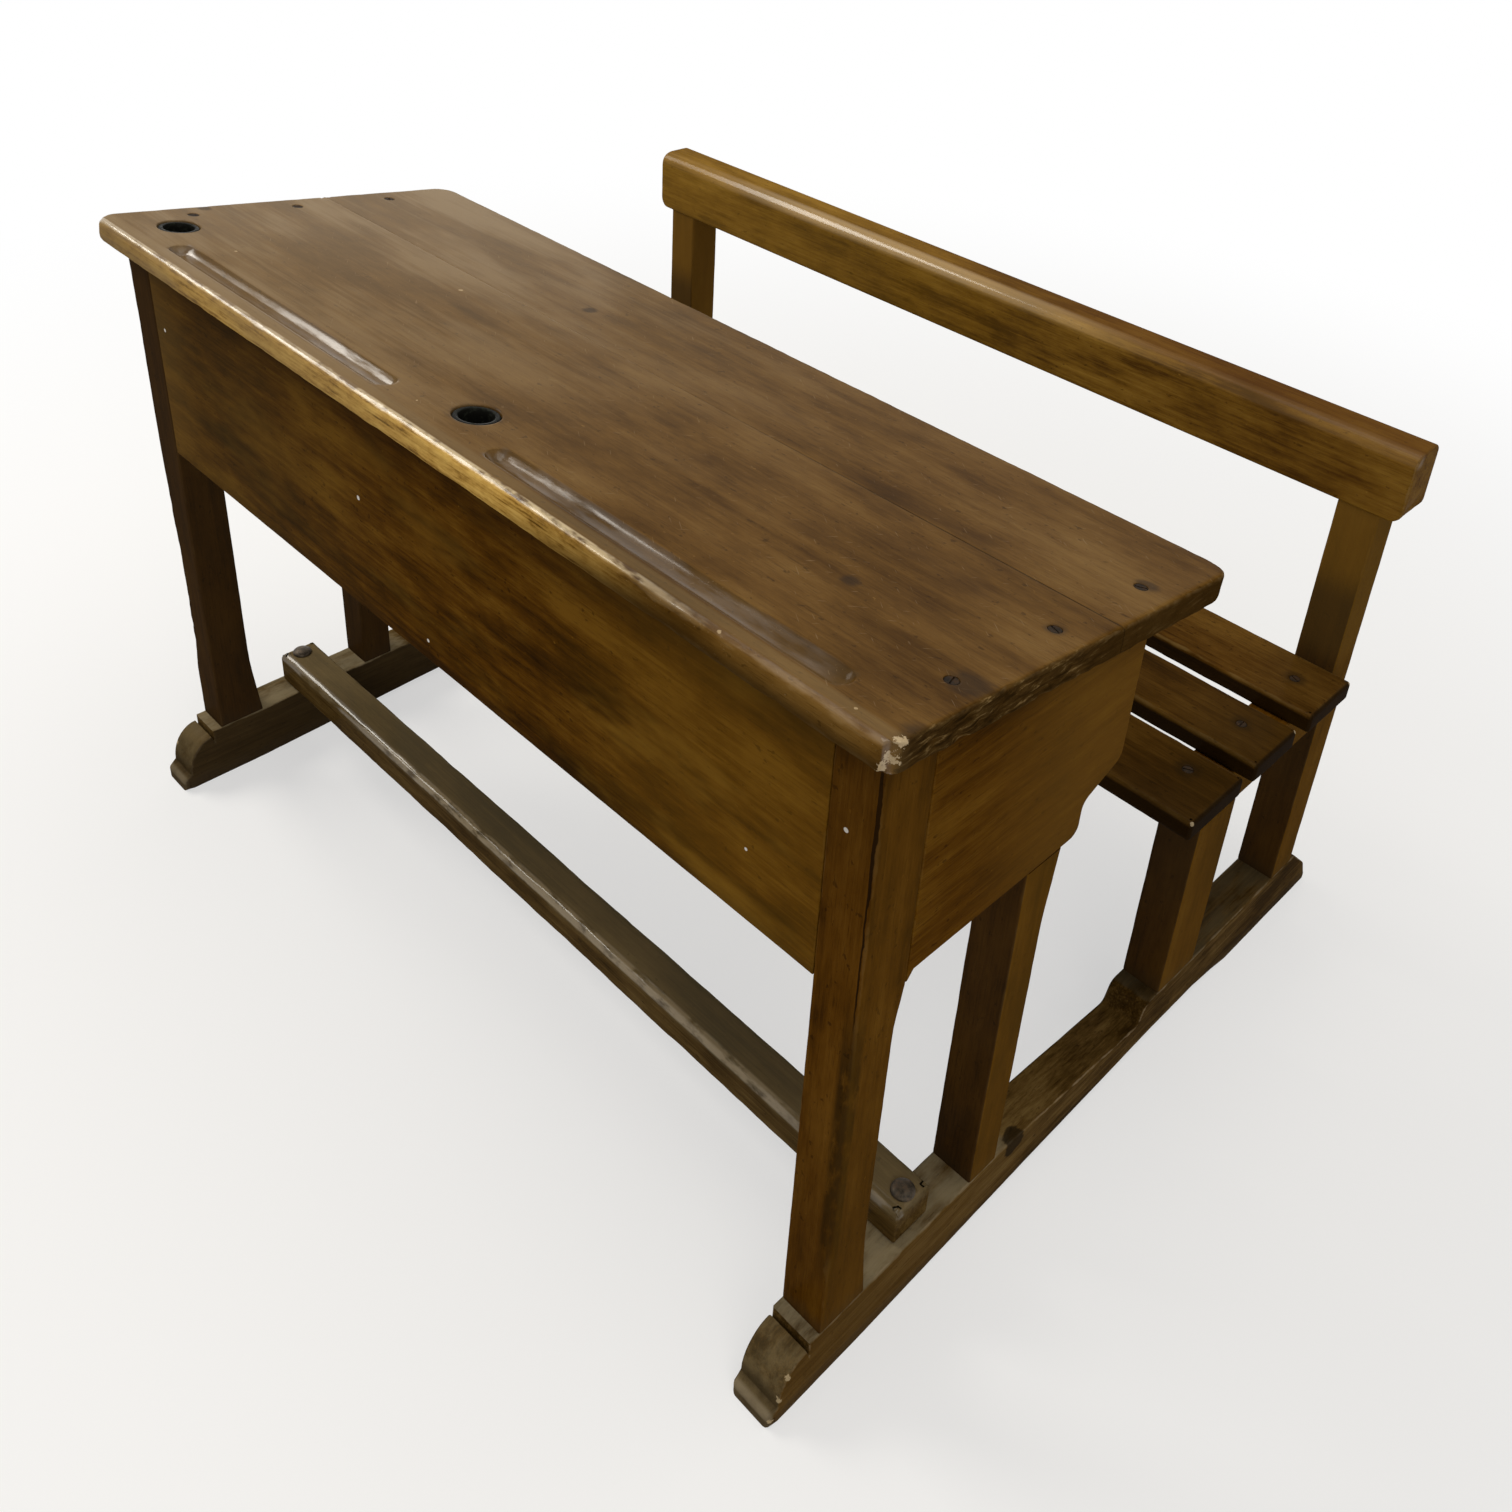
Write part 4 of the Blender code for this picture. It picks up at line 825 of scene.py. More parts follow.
def runner_marks(wood):
    """Pale tops trodden bare, painted shade in the toe's grooves, on the inner sides and on the
    left runner, and a few chips.
    """
    x, y, z = wood.parts()
    trodden = wood.rise(wood.wavy(z, 0.003), 0.0615, 0.0630)
    shade = wood.blend(wood.rise(y, -0.16, -0.05), (0.27, 0.225, 0.140), (0.062, 0.048, 0.026))
    wood.lay(trodden * wood.rise(wood.mottle, 0.25, 0.60) * 0.75, shade)
    warm = wood.rise(abs(x), 0.4715, 0.4728) * wood.fall(y, -0.30, 0.0)
    wood.lay(warm * 0.55, (0.105, 0.052, 0.008))

    toe = wood.fall(y, leg_front_y - 0.013, leg_front_y - 0.0095)
    front = toe * wood.fall(abs(abs(x) - frame_middle_x), 0.0185, 0.0200)
    wood.lay(front * (0.22 + wood.rise(wood.mottle, 0.35, 0.60) * 0.45), (0.180, 0.138, 0.072))
    hollow_shade = (front * wood.rise(wood.cloud + wood.rub * 0.5, 0.62, 0.90)
                    * wood.fall(z, 0.042, 0.054))
    wood.lay(hollow_shade * 0.50, (0.045, 0.0330, 0.0150))
    # A dark line along the toe's moulding: painted shade.
    bead_shade = front * wood.rise(wood.wavy(z, 0.004), 0.015, 0.019) * wood.fall(z, 0.022, 0.034)
    wood.lay(bead_shade * 0.60, (0.030, 0.020, 0.009))
    tip = wood.fall(y, leg_front_y - 0.0465, leg_front_y - 0.0430) * wood.rise(z, 0.007, 0.011)
    wood.lay(tip * 0.65, (0.300, 0.245, 0.160))

    shaded_side = (0.034, 0.0230, 0.0115)
    wood.lay(wood.fall(abs(x), 0.4335, 0.4350) * (1 - trodden) * 0.72, shaded_side)
    wood.lay(wood.fall(x, 0.0, 0.1) * (1 - trodden) * 0.30, shaded_side)
    soil = wood.fall(wood.wavy(z, 0.02), 0.004, 0.022)
    wood.lay(soil * 0.45, (0.055, 0.040, 0.026))
    chips = [((side * frame_outer_x, at_y, at_z), radius) for side, at_y, at_z, radius in (
        (1, -0.390, 0.046, 0.004), (1, -0.398, 0.026, 0.005), (1, -0.4055, 0.009, 0.0035),
        (1, -0.372, 0.060, 0.003), (-1, -0.395, 0.040, 0.005))]
    crumb = wood.clouds(wood.place, 3.0, 0.7, 300.0)
    wood.lay(wood.patches(chips, 2.4, 0.30, 0.45, crumb), (0.40, 0.31, 0.18))
    hole = [((frame_outer_x, 0.2372 + leg_front_y, 0.056), 0.016)]
    dent = wood.rise(wood.spots(hole) + (wood.rub - 0.5), 0.1, 0.3)
    wood.lay(dent * 0.8, (0.012, 0.008, 0.004))
    wood.roughness = wood.roughness + trodden * 0.15


def foot_bar_marks(wood):
    """Grey where shoes have rubbed the varnish away, painted shade on the sides and a painted
    highlight along the top front arris.
    """
    x, y, z = wood.parts()
    trodden = wood.rise(wood.wavy(z, 0.012), 0.088, 0.0985)
    wood.lay(trodden * 0.55, (0.172, 0.1380, 0.0760))
    # The sides and underside painted darker: painted shade.
    wood.lay((1 - wood.facing("Z", 1)) * 0.30, (0.036, 0.0240, 0.0090))
    lip = (wood.fall(y, leg_front_y + 0.0965, leg_front_y + 0.0990)
           * wood.rise(z, 0.0925, 0.0950))
    # A pale line along the top front arris: a little bare wood, mostly a painted highlight.
    bar_wear_and_highlight = (lip * wood.rise(x, -0.42, -0.15) * wood.rise(wood.rub, 0.34, 0.54)
                * wood.fall(x, 0.32, 0.40))
    wood.lay(bar_wear_and_highlight * 0.42, (0.50, 0.400, 0.250))
    wood.coat = lip * wood.rise(wood.cloud + wood.rub * 0.4, 0.45, 0.80) * 0.97 + 0.03
    wood.roughness = wood.roughness + trodden * 0.06


def slat_marks(wood):
    """Dark stains round the screws, painted shade on the side and end faces, and pale scuffs at
    the corners.
    """
    x, y, z = wood.parts()
    stain = wood.patches([((side * frame_middle_x, screw + leg_front_y, seat_top), 0.017)
                          for _, side in sides for *_, screw in seat_slats],
                         0.8, 0.1, 0.7)
    wood.lay(stain * 0.6, (0.015, 0.009, 0.005))
    near_end = wood.rise(abs(x) + wood.cloud * 0.06, 0.42, 0.50)
    wood.lay(near_end * 0.40, (0.028, 0.0150, 0.0040))
    wood.lay(wood.fall(y, 0.225, 0.235) * 0.38, (0.022, 0.0120, 0.0025))
    # The side faces between the slats and the end faces painted nearly black: painted shade.
    side_face = wood.fall(wood.wavy(z, 0.003), 0.3245, 0.3275)
    end_face = wood.rise(abs(x), 0.4885, 0.4910)
    wood.lay(wood.most(side_face, end_face) * 0.85, (0.010, 0.0048, 0.0010))
    wood.flecks([((0.4910, setback + leg_front_y, 0.3285), 0.0030)
                 for setback in (0.391, 0.563, 0.668)], (0.34, 0.27, 0.17))


def rail_marks(wood):
    """Varnish polished by backs along the rail's top front arris, with a painted highlight along
    it.
    """
    x, y, z = wood.parts()
    bow = wood.fall(y, leg_front_y + 0.676, leg_front_y + 0.684) * wood.rise(z, 0.555, 0.562)
    above = wood.rise(z, 0.5665, 0.5685) * wood.rise(x, -0.35, 0.20)
    wood.lay(above * 0.55, (0.115, 0.046, 0.010))
    wood.lay(wood.fall(x, -0.25, 0.25) * 0.30, (0.270, 0.1500, 0.0200))
    wood.lay(wood.rise(x, 0.10, 0.45) * 0.36, (0.078, 0.0300, 0.0030))
    lit = wood.band(x, -0.46, -0.20, -0.02, 0.26)
    wood.coat = 0.05 + bow * wood.rise(wood.cloud, 0.22, 0.48) * (0.20 + lit * 0.80)
    # A pale band along the top front arris: a little wear, mostly a painted highlight.
    wood.lay(bow * (0.08 + lit * 0.46), (0.44, 0.290, 0.110))


# What a user may change

def length_property(name, description, default, low, high):
    """A length that a user may change."""
    return FloatProperty(name=name, description=description, default=default,
                         min=low, max=high, unit="LENGTH")


def colour_property(name, description, default):
    """A colour that a user may change."""
    return FloatVectorProperty(name=name, description=description, default=default,
                               size=3, min=0.0, max=1.0, subtype="COLOR")


def tone_properties():
    """The dark, middle and light colour of each wood."""
    return {f"{wood}_{tone}": colour_property(f"{label}, {tone}", f"{kind} of the {label.lower()}",
                                              default)
            for wood, (label, *defaults) in wood_tones.items()
            for (tone, kind), default in zip(tone_kinds, defaults)}


class SchoolDeskSizes(bpy.types.PropertyGroup):
    """Sizes of edges, grooves and fittings."""

    top_arris: length_property(
        "Top arris", "Rounding of the top's outer edges", 0.006, 0.001, 0.009)
    post_arris: length_property(
        "Post arris", "Rounding of the legs' and posts' edges", 0.0022, 0.0005, 0.006)
    board_arris: length_property(
        "Board arris", "Rounding of thin boards' edges", 0.0014, 0.0005, 0.004)
    slat_arris: length_property(
        "Slat arris", "Rounding of the seat slats' edges", 0.0034, 0.001, 0.006)
    rail_front_arris: length_property(
        "Rail front arris", "Rounding along the backrest's top front edge", 0.014, 0.002, 0.020)
    rail_rear_arris: length_property(
        "Rail rear arris", "Rounding along the backrest's top rear edge", 0.008, 0.002, 0.020)
    groove_width: length_property(
        "Groove width", "Width of the pen grooves", 0.022, 0.010, 0.030)
    groove_depth: length_property(
        "Groove depth", "Depth of the pen grooves", 0.007, 0.002, 0.010)
    inkwell_rim: length_property(
        "Inkwell rim", "Radius of the inkwells' rims", 0.018, 0.012, 0.0182)
    screw_radius: length_property(
        "Screw head radius", "Radius of the countersunk screw heads", 0.0048, 0.002, 0.006)
    bolt_radius: length_property(
        "Bolt head radius", "Radius of the foot bar's bolt heads", 0.010, 0.005, 0.014)
    wear: FloatProperty(
        name="Wear", description="How uneven the arrises are",
        default=0.38, min=0.0, max=0.8, subtype="FACTOR")


class SchoolDeskColours(bpy.types.PropertyGroup):
    """Colours of the woods, fittings and stage."""

    __annotations__ = tone_properties()
    inside_middle: colour_property("Inside", "Main tone of the bare inside",
                                   (0.120, 0.078, 0.042))
    bare_wood: colour_property("Bare wood", "Wood where the varnish is rubbed off",
                               (0.74, 0.48, 0.13))
    steel: colour_property("Steel", "Screws and nuts", (0.020, 0.0125, 0.0065))
    glaze: colour_property("Glaze", "Inkwell cups", (0.008, 0.0080, 0.0065))
    floor: colour_property("Floor", "Floor and background", (0.86, 0.86, 0.86))


def tones(context, wood):
    """A wood's dark, middle and light colours, as the user has them."""
    chosen = context.scene.school_desk_colours
    return tuple(tuple(getattr(chosen, f"{wood}_{tone}")) for tone, _ in tone_kinds)


def frame_finish(context, axis):
    """The frame's wood with its grain along an axis."""
    seed = {"Y": 5.0, "Z": 6.0}[axis]
    return wood_finish(f"frame_varnish_{axis.lower()}", axis, tones(context, "frame"), seed,
                       sheen=0.42, bare=(0.165, 0.090, 0.026), bare_share=0.45, patch=0.9,
                       stripe=0.26, marks=frame_marks)


def inside_finish(context):
    """Bare wood of the parts inside the compartment and under it."""
    middle = tuple(context.scene.school_desk_colours.inside_middle)
    return wood_finish("bare_inside", "X", (shaded(middle, 0.6), middle, shaded(middle, 1.5)),
                       8.0, sheen=0.72, coat=0.0)


# The pieces

def rectangle(left, right, low, high, radius=0):
    """Corners of a rectangle, each rounded by a radius."""
    return ((left, low, radius), (right, low, radius), (right, high, radius),
            (left, high, radius))


def span(side, inner, outer):
    """Where a piece at the left (-1) or right (1) starts and ends, counted to the right."""
    return sorted((side * inner, side * outer))


def pit(radius, top=0.0):
    """Rings of the sunk hole round a screw head."""
    return [(radius + 0.0018, top), (radius + 0.0009, top), (radius + 0.0004, top - 0.0003),
            (radius + 0.0002, top - 0.0009), (radius, top - 0.0035)]


class TopShape:
    """The worn forms of the sloping top: its grooves, arrises, joint and torn end."""

    def __init__(self, sizes):
        self.half, self.arris = top_length / 2, sizes.top_arris
        self.groove_half, self.groove_depth = sizes.groove_width / 2, sizes.groove_depth

    def groove_rings(self):
        """Rings round both pen grooves, from outside their rims to their middles."""
        return [long_ring(start + self.groove_half, end - self.groove_half, groove_middle,
                          self.groove_half - inset)
                for start, end in groove_spans
                for inset in (-0.0022, -0.0012, -0.0005, 0.0, 0.0006, 0.0014, 0.0026, 0.0042,
                              0.0060, 0.0080, 0.0098)]

    def groove_sink(self, ring):
        """Depth of the pen grooves, their rims rounded."""
        half, deep = self.groove_half, self.groove_depth
        cross_radius = (half ** 2 + deep ** 2) / (2 * deep)
        depth = np.zeros(len(ring))
        for start, end in groove_spans:
            nearest = np.clip(ring[:, 0], start + half, end - half)
            far = np.hypot(ring[:, 0] - nearest, ring[:, 1] - groove_middle)
            round_part = np.sqrt(np.clip(cross_radius ** 2 - far ** 2, 0, None))
            sunk = np.clip(round_part - (cross_radius - deep), 0, None)
            rim = 0.0011 * np.clip(1 - abs(far - half) / 0.0020, 0, 1) ** 2
            depth = np.maximum(depth, sunk + rim * 0.35)
        return depth

    def arris_at(self, u, near_seam):
        """Rounding of the edges: less along the torn right end, and little at the joint."""
        free = self.arris * (1 - 0.60 * smooth_steps(u, self.half - 0.016, self.half - 0.003))
        opened = 0.00015 + 0.0007 * smooth_steps(u, 0.15, 0.47)
        return free + (opened - free) * near_seam

    def front_radius(self, outline, face):
        """The front board's rounding, with worn places along its front edge."""
        u, v = outline[:, 0], outline[:, 1]
        soft = self.arris_at(u, smooth_steps(v, seam_fall - 0.006, seam_fall - 0.001))
        for at, width, more in ((-0.285, 0.006, 0.0016), (-0.18, 0.012, 0.0011),
                                (-0.008, 0.007, 0.0018), (0.10, 0.02, 0.0010),
                                (0.31, 0.015, 0.0013), (0.405, 0.005, 0.0018)):
            soft = soft + more * np.exp(-((u - at) / width) ** 2) * (v < 0.004)
        return soft

    def rear_radius(self, outline, face):
        """The rear board's rounding."""
        near_seam = 1 - smooth_steps(outline[:, 1], seam_fall + 0.001, seam_fall + 0.006)
        return self.arris_at(outline[:, 0], near_seam)

    def open_joint(self, points, placed):
        """Opens the joint of the boards to the right and lets it end in the rounded ends."""
        u, v, w = points[:, 0], points[:, 1], points[:, 2]
        arris = np.where(u > 0, self.arris * 0.4, self.arris)
        inset = np.clip(self.half - abs(u), 0, arris)
        round_off = arris - np.sqrt(arris ** 2 - (arris - inset) ** 2)
        near_seam = 1 - smooth_steps(abs(v - seam_fall), 0.0055, 0.0075)
        above, below = w + round_off, round_off - (w + top_thickness)
        sink = (np.clip(above, 0, None) - np.clip(below, 0, None)) * near_seam
        placed[:, 1] -= sink * math.sin(top_angle)
        placed[:, 2] -= sink * math.cos(top_angle)
        closed = 1 - smooth_steps(u, 0.05, 0.44)
        placed[:, 1] -= (abs(v - seam_fall - joint_gap) < 1e-5) * closed * 0.00027

    def worn(self, points, placed):
        """Opens the joint, splinters the right end and breaks its front corner."""
        self.open_joint(points, placed)
        u, v = points[:, 0], points[:, 1]
        at_end = smooth_steps(u, self.half - 0.0045, self.half - 0.0005)
        layers = rough(points[:, 1:3] * np.array([0.10, 0.45]), 520, 3.0)
        fibre = rough(points[:, 1:3] * np.array([0.55, 1.4]), 160, 7.0)
        stretch = smooth_steps(v, 0.015, 0.040) * (1 - smooth_steps(v, 0.165, 0.215))
        bite = at_end * (0.0005 + 0.0016 * stretch)
        placed[:, 0] -= bite * np.clip(0.45 + layers + fibre, 0, 1.6)
        corner = np.exp(-(((u - self.half) / 0.016) ** 2 + (v / 0.016) ** 2))
        broken = rough(points[:, :2], 130, 5.0) + 0.5 * rough(points[:, :2], 300, 9.0)
        chips = corner * np.clip(broken, 0, 1)
        placed[:, 0] -= chips * 0.004
        placed[:, 1] += chips * 0.003
        return placed

    def spacing(self, at):
        """Closer points at the torn right end."""
        return 0.0022 if at.x > 0.44 else 0.006


class SCHOOLDESK_OT_top(bpy.types.Operator):
    """Make the two boards of the sloping top with grooves and inkwell holes"""

    bl_idname = "school_desk.top"
    bl_label = "Top"

    def execute(self, context):
        sizes = context.scene.school_desk_sizes
        form, half = TopShape(sizes), top_length / 2
        cup_holes = [(place, [(0.0204, 0.0), (0.0193, 0.0), (0.0188, -0.0003),
                              (0.0185, -0.0010), (0.0185, -0.0042), (0.0160, -0.0042),
                              (0.0160, -top_thickness)], True) for place in inkwell_places]
        screw_holes = [((side * top_screw_x, fall), pit(sizes.screw_radius), False)
                       for _, side in sides for fall in top_screw_falls]
        boards = (
            ("front", 1.0, form.front_radius,
             ((-half, 0, 0.022), (half, 0, 0.014), (half, seam_fall, 0), (-half, seam_fall, 0)),
             {"holes": cup_holes + [hole for hole in screw_holes if hole[0][1] < seam_fall],
              "inner": form.groove_rings(), "relief": form.groove_sink}),
            ("rear", 2.0, form.rear_radius,
             ((-half, seam_fall + joint_gap, 0), (half, seam_fall + joint_gap, 0),
              (half, top_depth, 0.022), (-half, top_depth, 0.022)),
             {"holes": [hole for hole in screw_holes if hole[0][1] > seam_fall]}))
        for board, seed, radius, corners, cuts in boards:
            wood = wood_finish(f"top_varnish_{board}", "X", tones(context, "top"), seed,
                               sheen=0.32, bare=(0.33, 0.22, 0.10), bare_share=0.30,
                               patch=0.80, stripe=0.17, coat_blur=0.16, relief=0.30,
                               marks=top_marks)
            made = timber(f"desktop_{board}_board_worn", corners, -top_thickness, 0.0, top_place,
                          radius, sizes.wear * 0.6, form.spacing, 5, shape=form.worn, seed=seed,
                          **cuts)
            fit(made, wood, f"desktop_{board}_board")
        return {"FINISHED"}


class SCHOOLDESK_OT_inkwells(bpy.types.Operator):
    """Turn the two black inkwell cups"""

    bl_idname = "school_desk.inkwells"
    bl_label = "Inkwells"

    def execute(self, context):
        rim = context.scene.school_desk_sizes.inkwell_rim
        body, foot, top = 0.0155, 0.0130, -0.0009
        hollow = [(0.0, -0.032), (0.0095, -0.0318), (0.0112, -0.0305), (0.0125, -0.020),
                  (0.0131, -0.006), (0.0134, -0.0012), (0.0138, -0.0003), (0.0145, 0.0)]
        flange = [(rim - 0.0016, 0.0), (rim - 0.0006, -0.0003), (rim - 0.0001, -0.0010),
                  (rim, -0.0016), (rim - 0.0003, -0.0026), (rim - 0.0008, -0.003)]
        outside = [(body, -0.003), (body - 0.0004, -0.012), (foot + 0.0008, -0.033),
                   (foot, -0.0352), (foot - 0.0010, -0.036), (0.0, -0.036)]
        profile = [(radius, top + height) for radius, height in hollow + flange + outside]
        glaze = glaze_finish("inkwell_glaze", tuple(context.scene.school_desk_colours.glaze))
        for (name, _), place in zip(sides, inkwell_places):
            cup = turned(f"inkwell_{name}_glazed", profile, top_place, place, 72)
            fit(cup, glaze, f"inkwell_{name}", f"inkwell_cup_{name}")
        return {"FINISHED"}


class SCHOOLDESK_OT_front_panel(bpy.types.Operator):
    """Make the wide board under the top's front edge"""

    bl_idname = "school_desk.front_panel"
    bl_label = "Front panel"

    def execute(self, context):
        sizes = context.scene.school_desk_sizes

        def sloping_top(points, placed):
            """Brings the board's top edge up to the sloping top in front."""
            short = panel_thickness - np.clip(points[:, 2], 0, panel_thickness)
            placed[:, 2] += (points[:, 1] > 0.5) * short * math.tan(top_angle)
            return placed

        panel = timber("front_panel_worn",
                       rectangle(-board_end_x, board_end_x, 0.407,
                                 under_top(panel_thickness) - 0.0004),
                       0.0, panel_thickness, front_place, sizes.board_arris, sizes.wear,
                       shape=sloping_top, seed=3.0)
        wood = wood_finish("front_panel_varnish", "X", tones(context, "panel"), 3.0,
                           bare=(0.16, 0.085, 0.018), patch=1.15, stripe=0.34,
                           marks=front_panel_marks)
        fit(panel, wood, "front_panel")
        return {"FINISHED"}


class SCHOOLDESK_OT_end_panels(bpy.types.Operator):
    """Make the boards at both ends of the compartment"""

    bl_idname = "school_desk.end_panels"
    bl_label = "End panels"

    def execute(self, context):
        sizes = context.scene.school_desk_sizes
        front, step, rear, inner_x = 0.0473, 0.235, 0.278, 0.455
        corners = ((front, 0.397, 0), (0.0533, 0.405, 0), (step, 0.405, 0.010),
                   (step, 0.435, 0.010), (rear, 0.453, 0.012), (rear, under_top(rear), 0),
                   (front, under_top(front), 0))
        wood = wood_finish("end_panel_varnish", "Y", tones(context, "panel"), 7.0,
                           bare=(0.17, 0.090, 0.020), stripe=0.28, marks=end_panel_marks)
        for name, side in sides:
            board = timber(f"end_panel_{name}_worn", corners, *span(side, inner_x, frame_outer_x),
                           side_place, sizes.board_arris, sizes.wear, seed=7.0 + side)
            fit(board, wood, f"end_panel_{name}")
        return {"FINISHED"}


class SCHOOLDESK_OT_legs(bpy.types.Operator):
    """Make the front legs and the rear uprights of the desk"""

    bl_idname = "school_desk.legs"
    bl_label = "Legs and uprights"

    def execute(self, context):
        sizes = context.scene.school_desk_sizes
        wood = frame_finish(context, "Z")
        foot, shank, head = 0.048, 0.041, 0.047
        leg_corners = ((0, post_bottom, 0), (foot, post_bottom, 0), (shank, 0.1333, 0.3),
                       (shank, 0.360, 0.12), (head, 0.397, 0), (head, under_top(head), 0),
                       (0, under_top(0), 0))
        front, shank, head, shoulder = 0.175, 0.209, 0.216, 0.4047
        upright_corners = ((front, post_bottom, 0), (shank, post_bottom, 0),
                           (shank, 0.335, 0.15), (head, shoulder, 0),
                           (head, under_top(head), 0), (front, under_top(front), 0))
        for name, side in sides:
            low, high = span(side, frame_inner_x, frame_outer_x)

            def leg_radius(outline, face, outer=side):
                """A worn outer front arris that opens into a chamfer near the foot."""
                soft = np.full(len(outline), sizes.post_arris)
                if face == outer:
                    height = outline[:, 1]
                    chamfer = smooth_steps(0.41 - height, 0.0, 0.16) \
                        * smooth_steps(height, 0.120, 0.165)
                    split = np.exp(-((height - 0.545) / 0.045) ** 2) \
                        * (0.5 + abs(rough(outline, 180, 2.0)))
                    soft = soft + (outline[:, 0] < 0.002) * (0.0075 * chamfer + 0.0014 * split)
                return soft

            leg = timber(f"front_leg_{name}_worn", leg_corners, low, high, side_place,
                         leg_radius, sizes.wear, 0.005, seed=9.0 + side)
            if name == "left":
                carve(leg, turned("bore", [(0.0163, -0.042), (0.0163, 0.01)], top_place,
                                  inkwell_places[0]))
            fit(leg, wood, f"front_leg_{name}")
            upright = timber(f"rear_upright_{name}_worn", upright_corners, low, high, side_place,
                             sizes.post_arris, sizes.wear, 0.006, seed=12.0 + side)
            carve(upright, timber("rebate", rectangle(0.16, 0.23, shoulder, 0.66),
                                  *span(side, 0.4547, 0.480), side_place, 0.0003, 0.0, 0.2))
            fit(upright, wood, f"rear_upright_{name}")
        return {"FINISHED"}


class SCHOOLDESK_OT_runners(bpy.types.Operator):
    """Make the two runners with their moulded toes"""

    bl_idname = "school_desk.runners"
    bl_label = "Runners"

    def execute(self, context):
        sizes = context.scene.school_desk_sizes
        top, toe, heel = 0.063, -0.049, 0.766
        ovolo = [(-0.0125 - 0.0275 * math.sin(t), 0.018 + 0.038 * math.cos(t), 0)
                 for t in (math.radians(a) for a in range(90, -1, -10))]
        hollow_start, hollow_end, hollow_height = 0.045, 0.600, 0.012
        hollow = [(hollow_end + (hollow_start - hollow_end) * share, hollow_height * rise, 0)
                  for share, rise in ((0, 0), (0.05, 0.5), (0.12, 0.92), (0.25, 1),
                                      (0.6, 0.62), (0.9, 0.16), (1, 0))]
        corners = [(toe, 0, 0), (toe, 0.013, 0.004), *ovolo, (-0.010, 0.050, 0),
                   (-0.010, top, 0), (0.222, top, 0.050), (0.428, 0.041, 0.006),
                   (0.437, top, 0.012), (0.720, top, 0.006), (0.755, 0.030, 0.006),
                   (heel, 0.008, 0.006), (heel, 0, 0), *hollow]

        def runner_radius(outline, face):
            """The toe's tip is worn rounder than the rest."""
            tip = 1 - smooth_steps(outline[:, 0], -0.046, -0.040)
            return sizes.post_arris * 0.9 + 0.0034 * tip

        wood = wood_finish("runner_rubbed", "Y", tones(context, "worn"), 10.0, sheen=0.50,
                           bare=(0.30, 0.22, 0.13), bare_share=0.75, patch=0.8, stripe=0.42,
                           coat=0.02, relief=0.5, marks=runner_marks)
        for name, side in sides:
            runner = timber(f"runner_{name}_worn", corners,
                            *span(side, frame_inner_x, frame_outer_x), side_place,
                            runner_radius, sizes.wear, 0.005, seed=15.0 + side)
            fit(runner, wood, f"runner_{name}")
        return {"FINISHED"}


class SCHOOLDESK_OT_compartment(bpy.types.Operator):
    """Make the compartment's floor and the strips that carry it"""

    bl_idname = "school_desk.compartment"
    bl_label = "Compartment floor"

    def execute(self, context):
        sizes = context.scene.school_desk_sizes
        for node in ("book_shelf", "shelf_cleat_left", "shelf_cleat_right", "shelf_cleat_front"):
            low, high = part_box(node)
            corners = rectangle(low.x, high.x, low.y - leg_front_y, high.y - leg_front_y)
            board = timber(f"{node}_sawn", corners, low.z, high.z, level_place,
                           sizes.board_arris * 0.7, sizes.wear, 0.02, seed=20.0)
            fit(board, inside_finish(context), node)
        return {"FINISHED"}


class SCHOOLDESK_OT_foot_bar(bpy.types.Operator):
    """Make the foot bar and the domed bolts that hold it"""

    bl_idname = "school_desk.foot_bar"
    bl_label = "Foot bar"

    def execute(self, context):
        sizes = context.scene.school_desk_sizes
        end, front, rear, top, reach = 0.465, 0.090, 0.130, 0.0993, sizes.bolt_radius

        def bar_radius(outline, face):
            """The bar's top front arris is the most worn."""
            at_front = outline[:, 1] < front + 0.002
            uneven = 1 + 0.35 * rough(outline, 9, 4.0)
            return (0.0046 + 0.0022 * at_front * (face > 0)) * uneven

        bar = timber("foot_bar_worn", rectangle(-end, end, front, rear, 0.002), post_bottom, top,
                     level_place, bar_radius, sizes.wear, seed=22.0)
        wood = wood_finish("foot_bar_rubbed", "X", tones(context, "worn"), 11.0, sheen=0.44,
                           bare=(0.28, 0.20, 0.11), bare_share=0.7, patch=0.8, stripe=0.40,
                           coat_blur=0.12, marks=foot_bar_marks)
        fit(bar, wood, "foot_bar")

        steel = steel_finish("rubbed_steel", (0.056, 0.042, 0.027), (0.070, 0.040, 0.018), 0.7)
        shank, brim = 0.0042, top + 0.0008
        dome = [(0.0, top - 0.004), (shank, top - 0.004), (shank, top + 0.0003),
                (reach, top + 0.0003), (reach, brim)]
        dome += [(reach * math.cos(t), brim + 0.0045 * math.sin(t))
                 for t in (math.radians(a) for a in range(15, 90, 15))]
        dome += [(0.0, brim + 0.0045)]
        for name, side in sides:
            bolt = turned(f"foot_bar_bolt_{name}_domed", dome, level_place,
                          (side * frame_middle_x, (front + rear) / 2), 40, 0.00012)
            fit(bolt, steel, f"foot_bar_bolt_{name}")
        return {"FINISHED"}


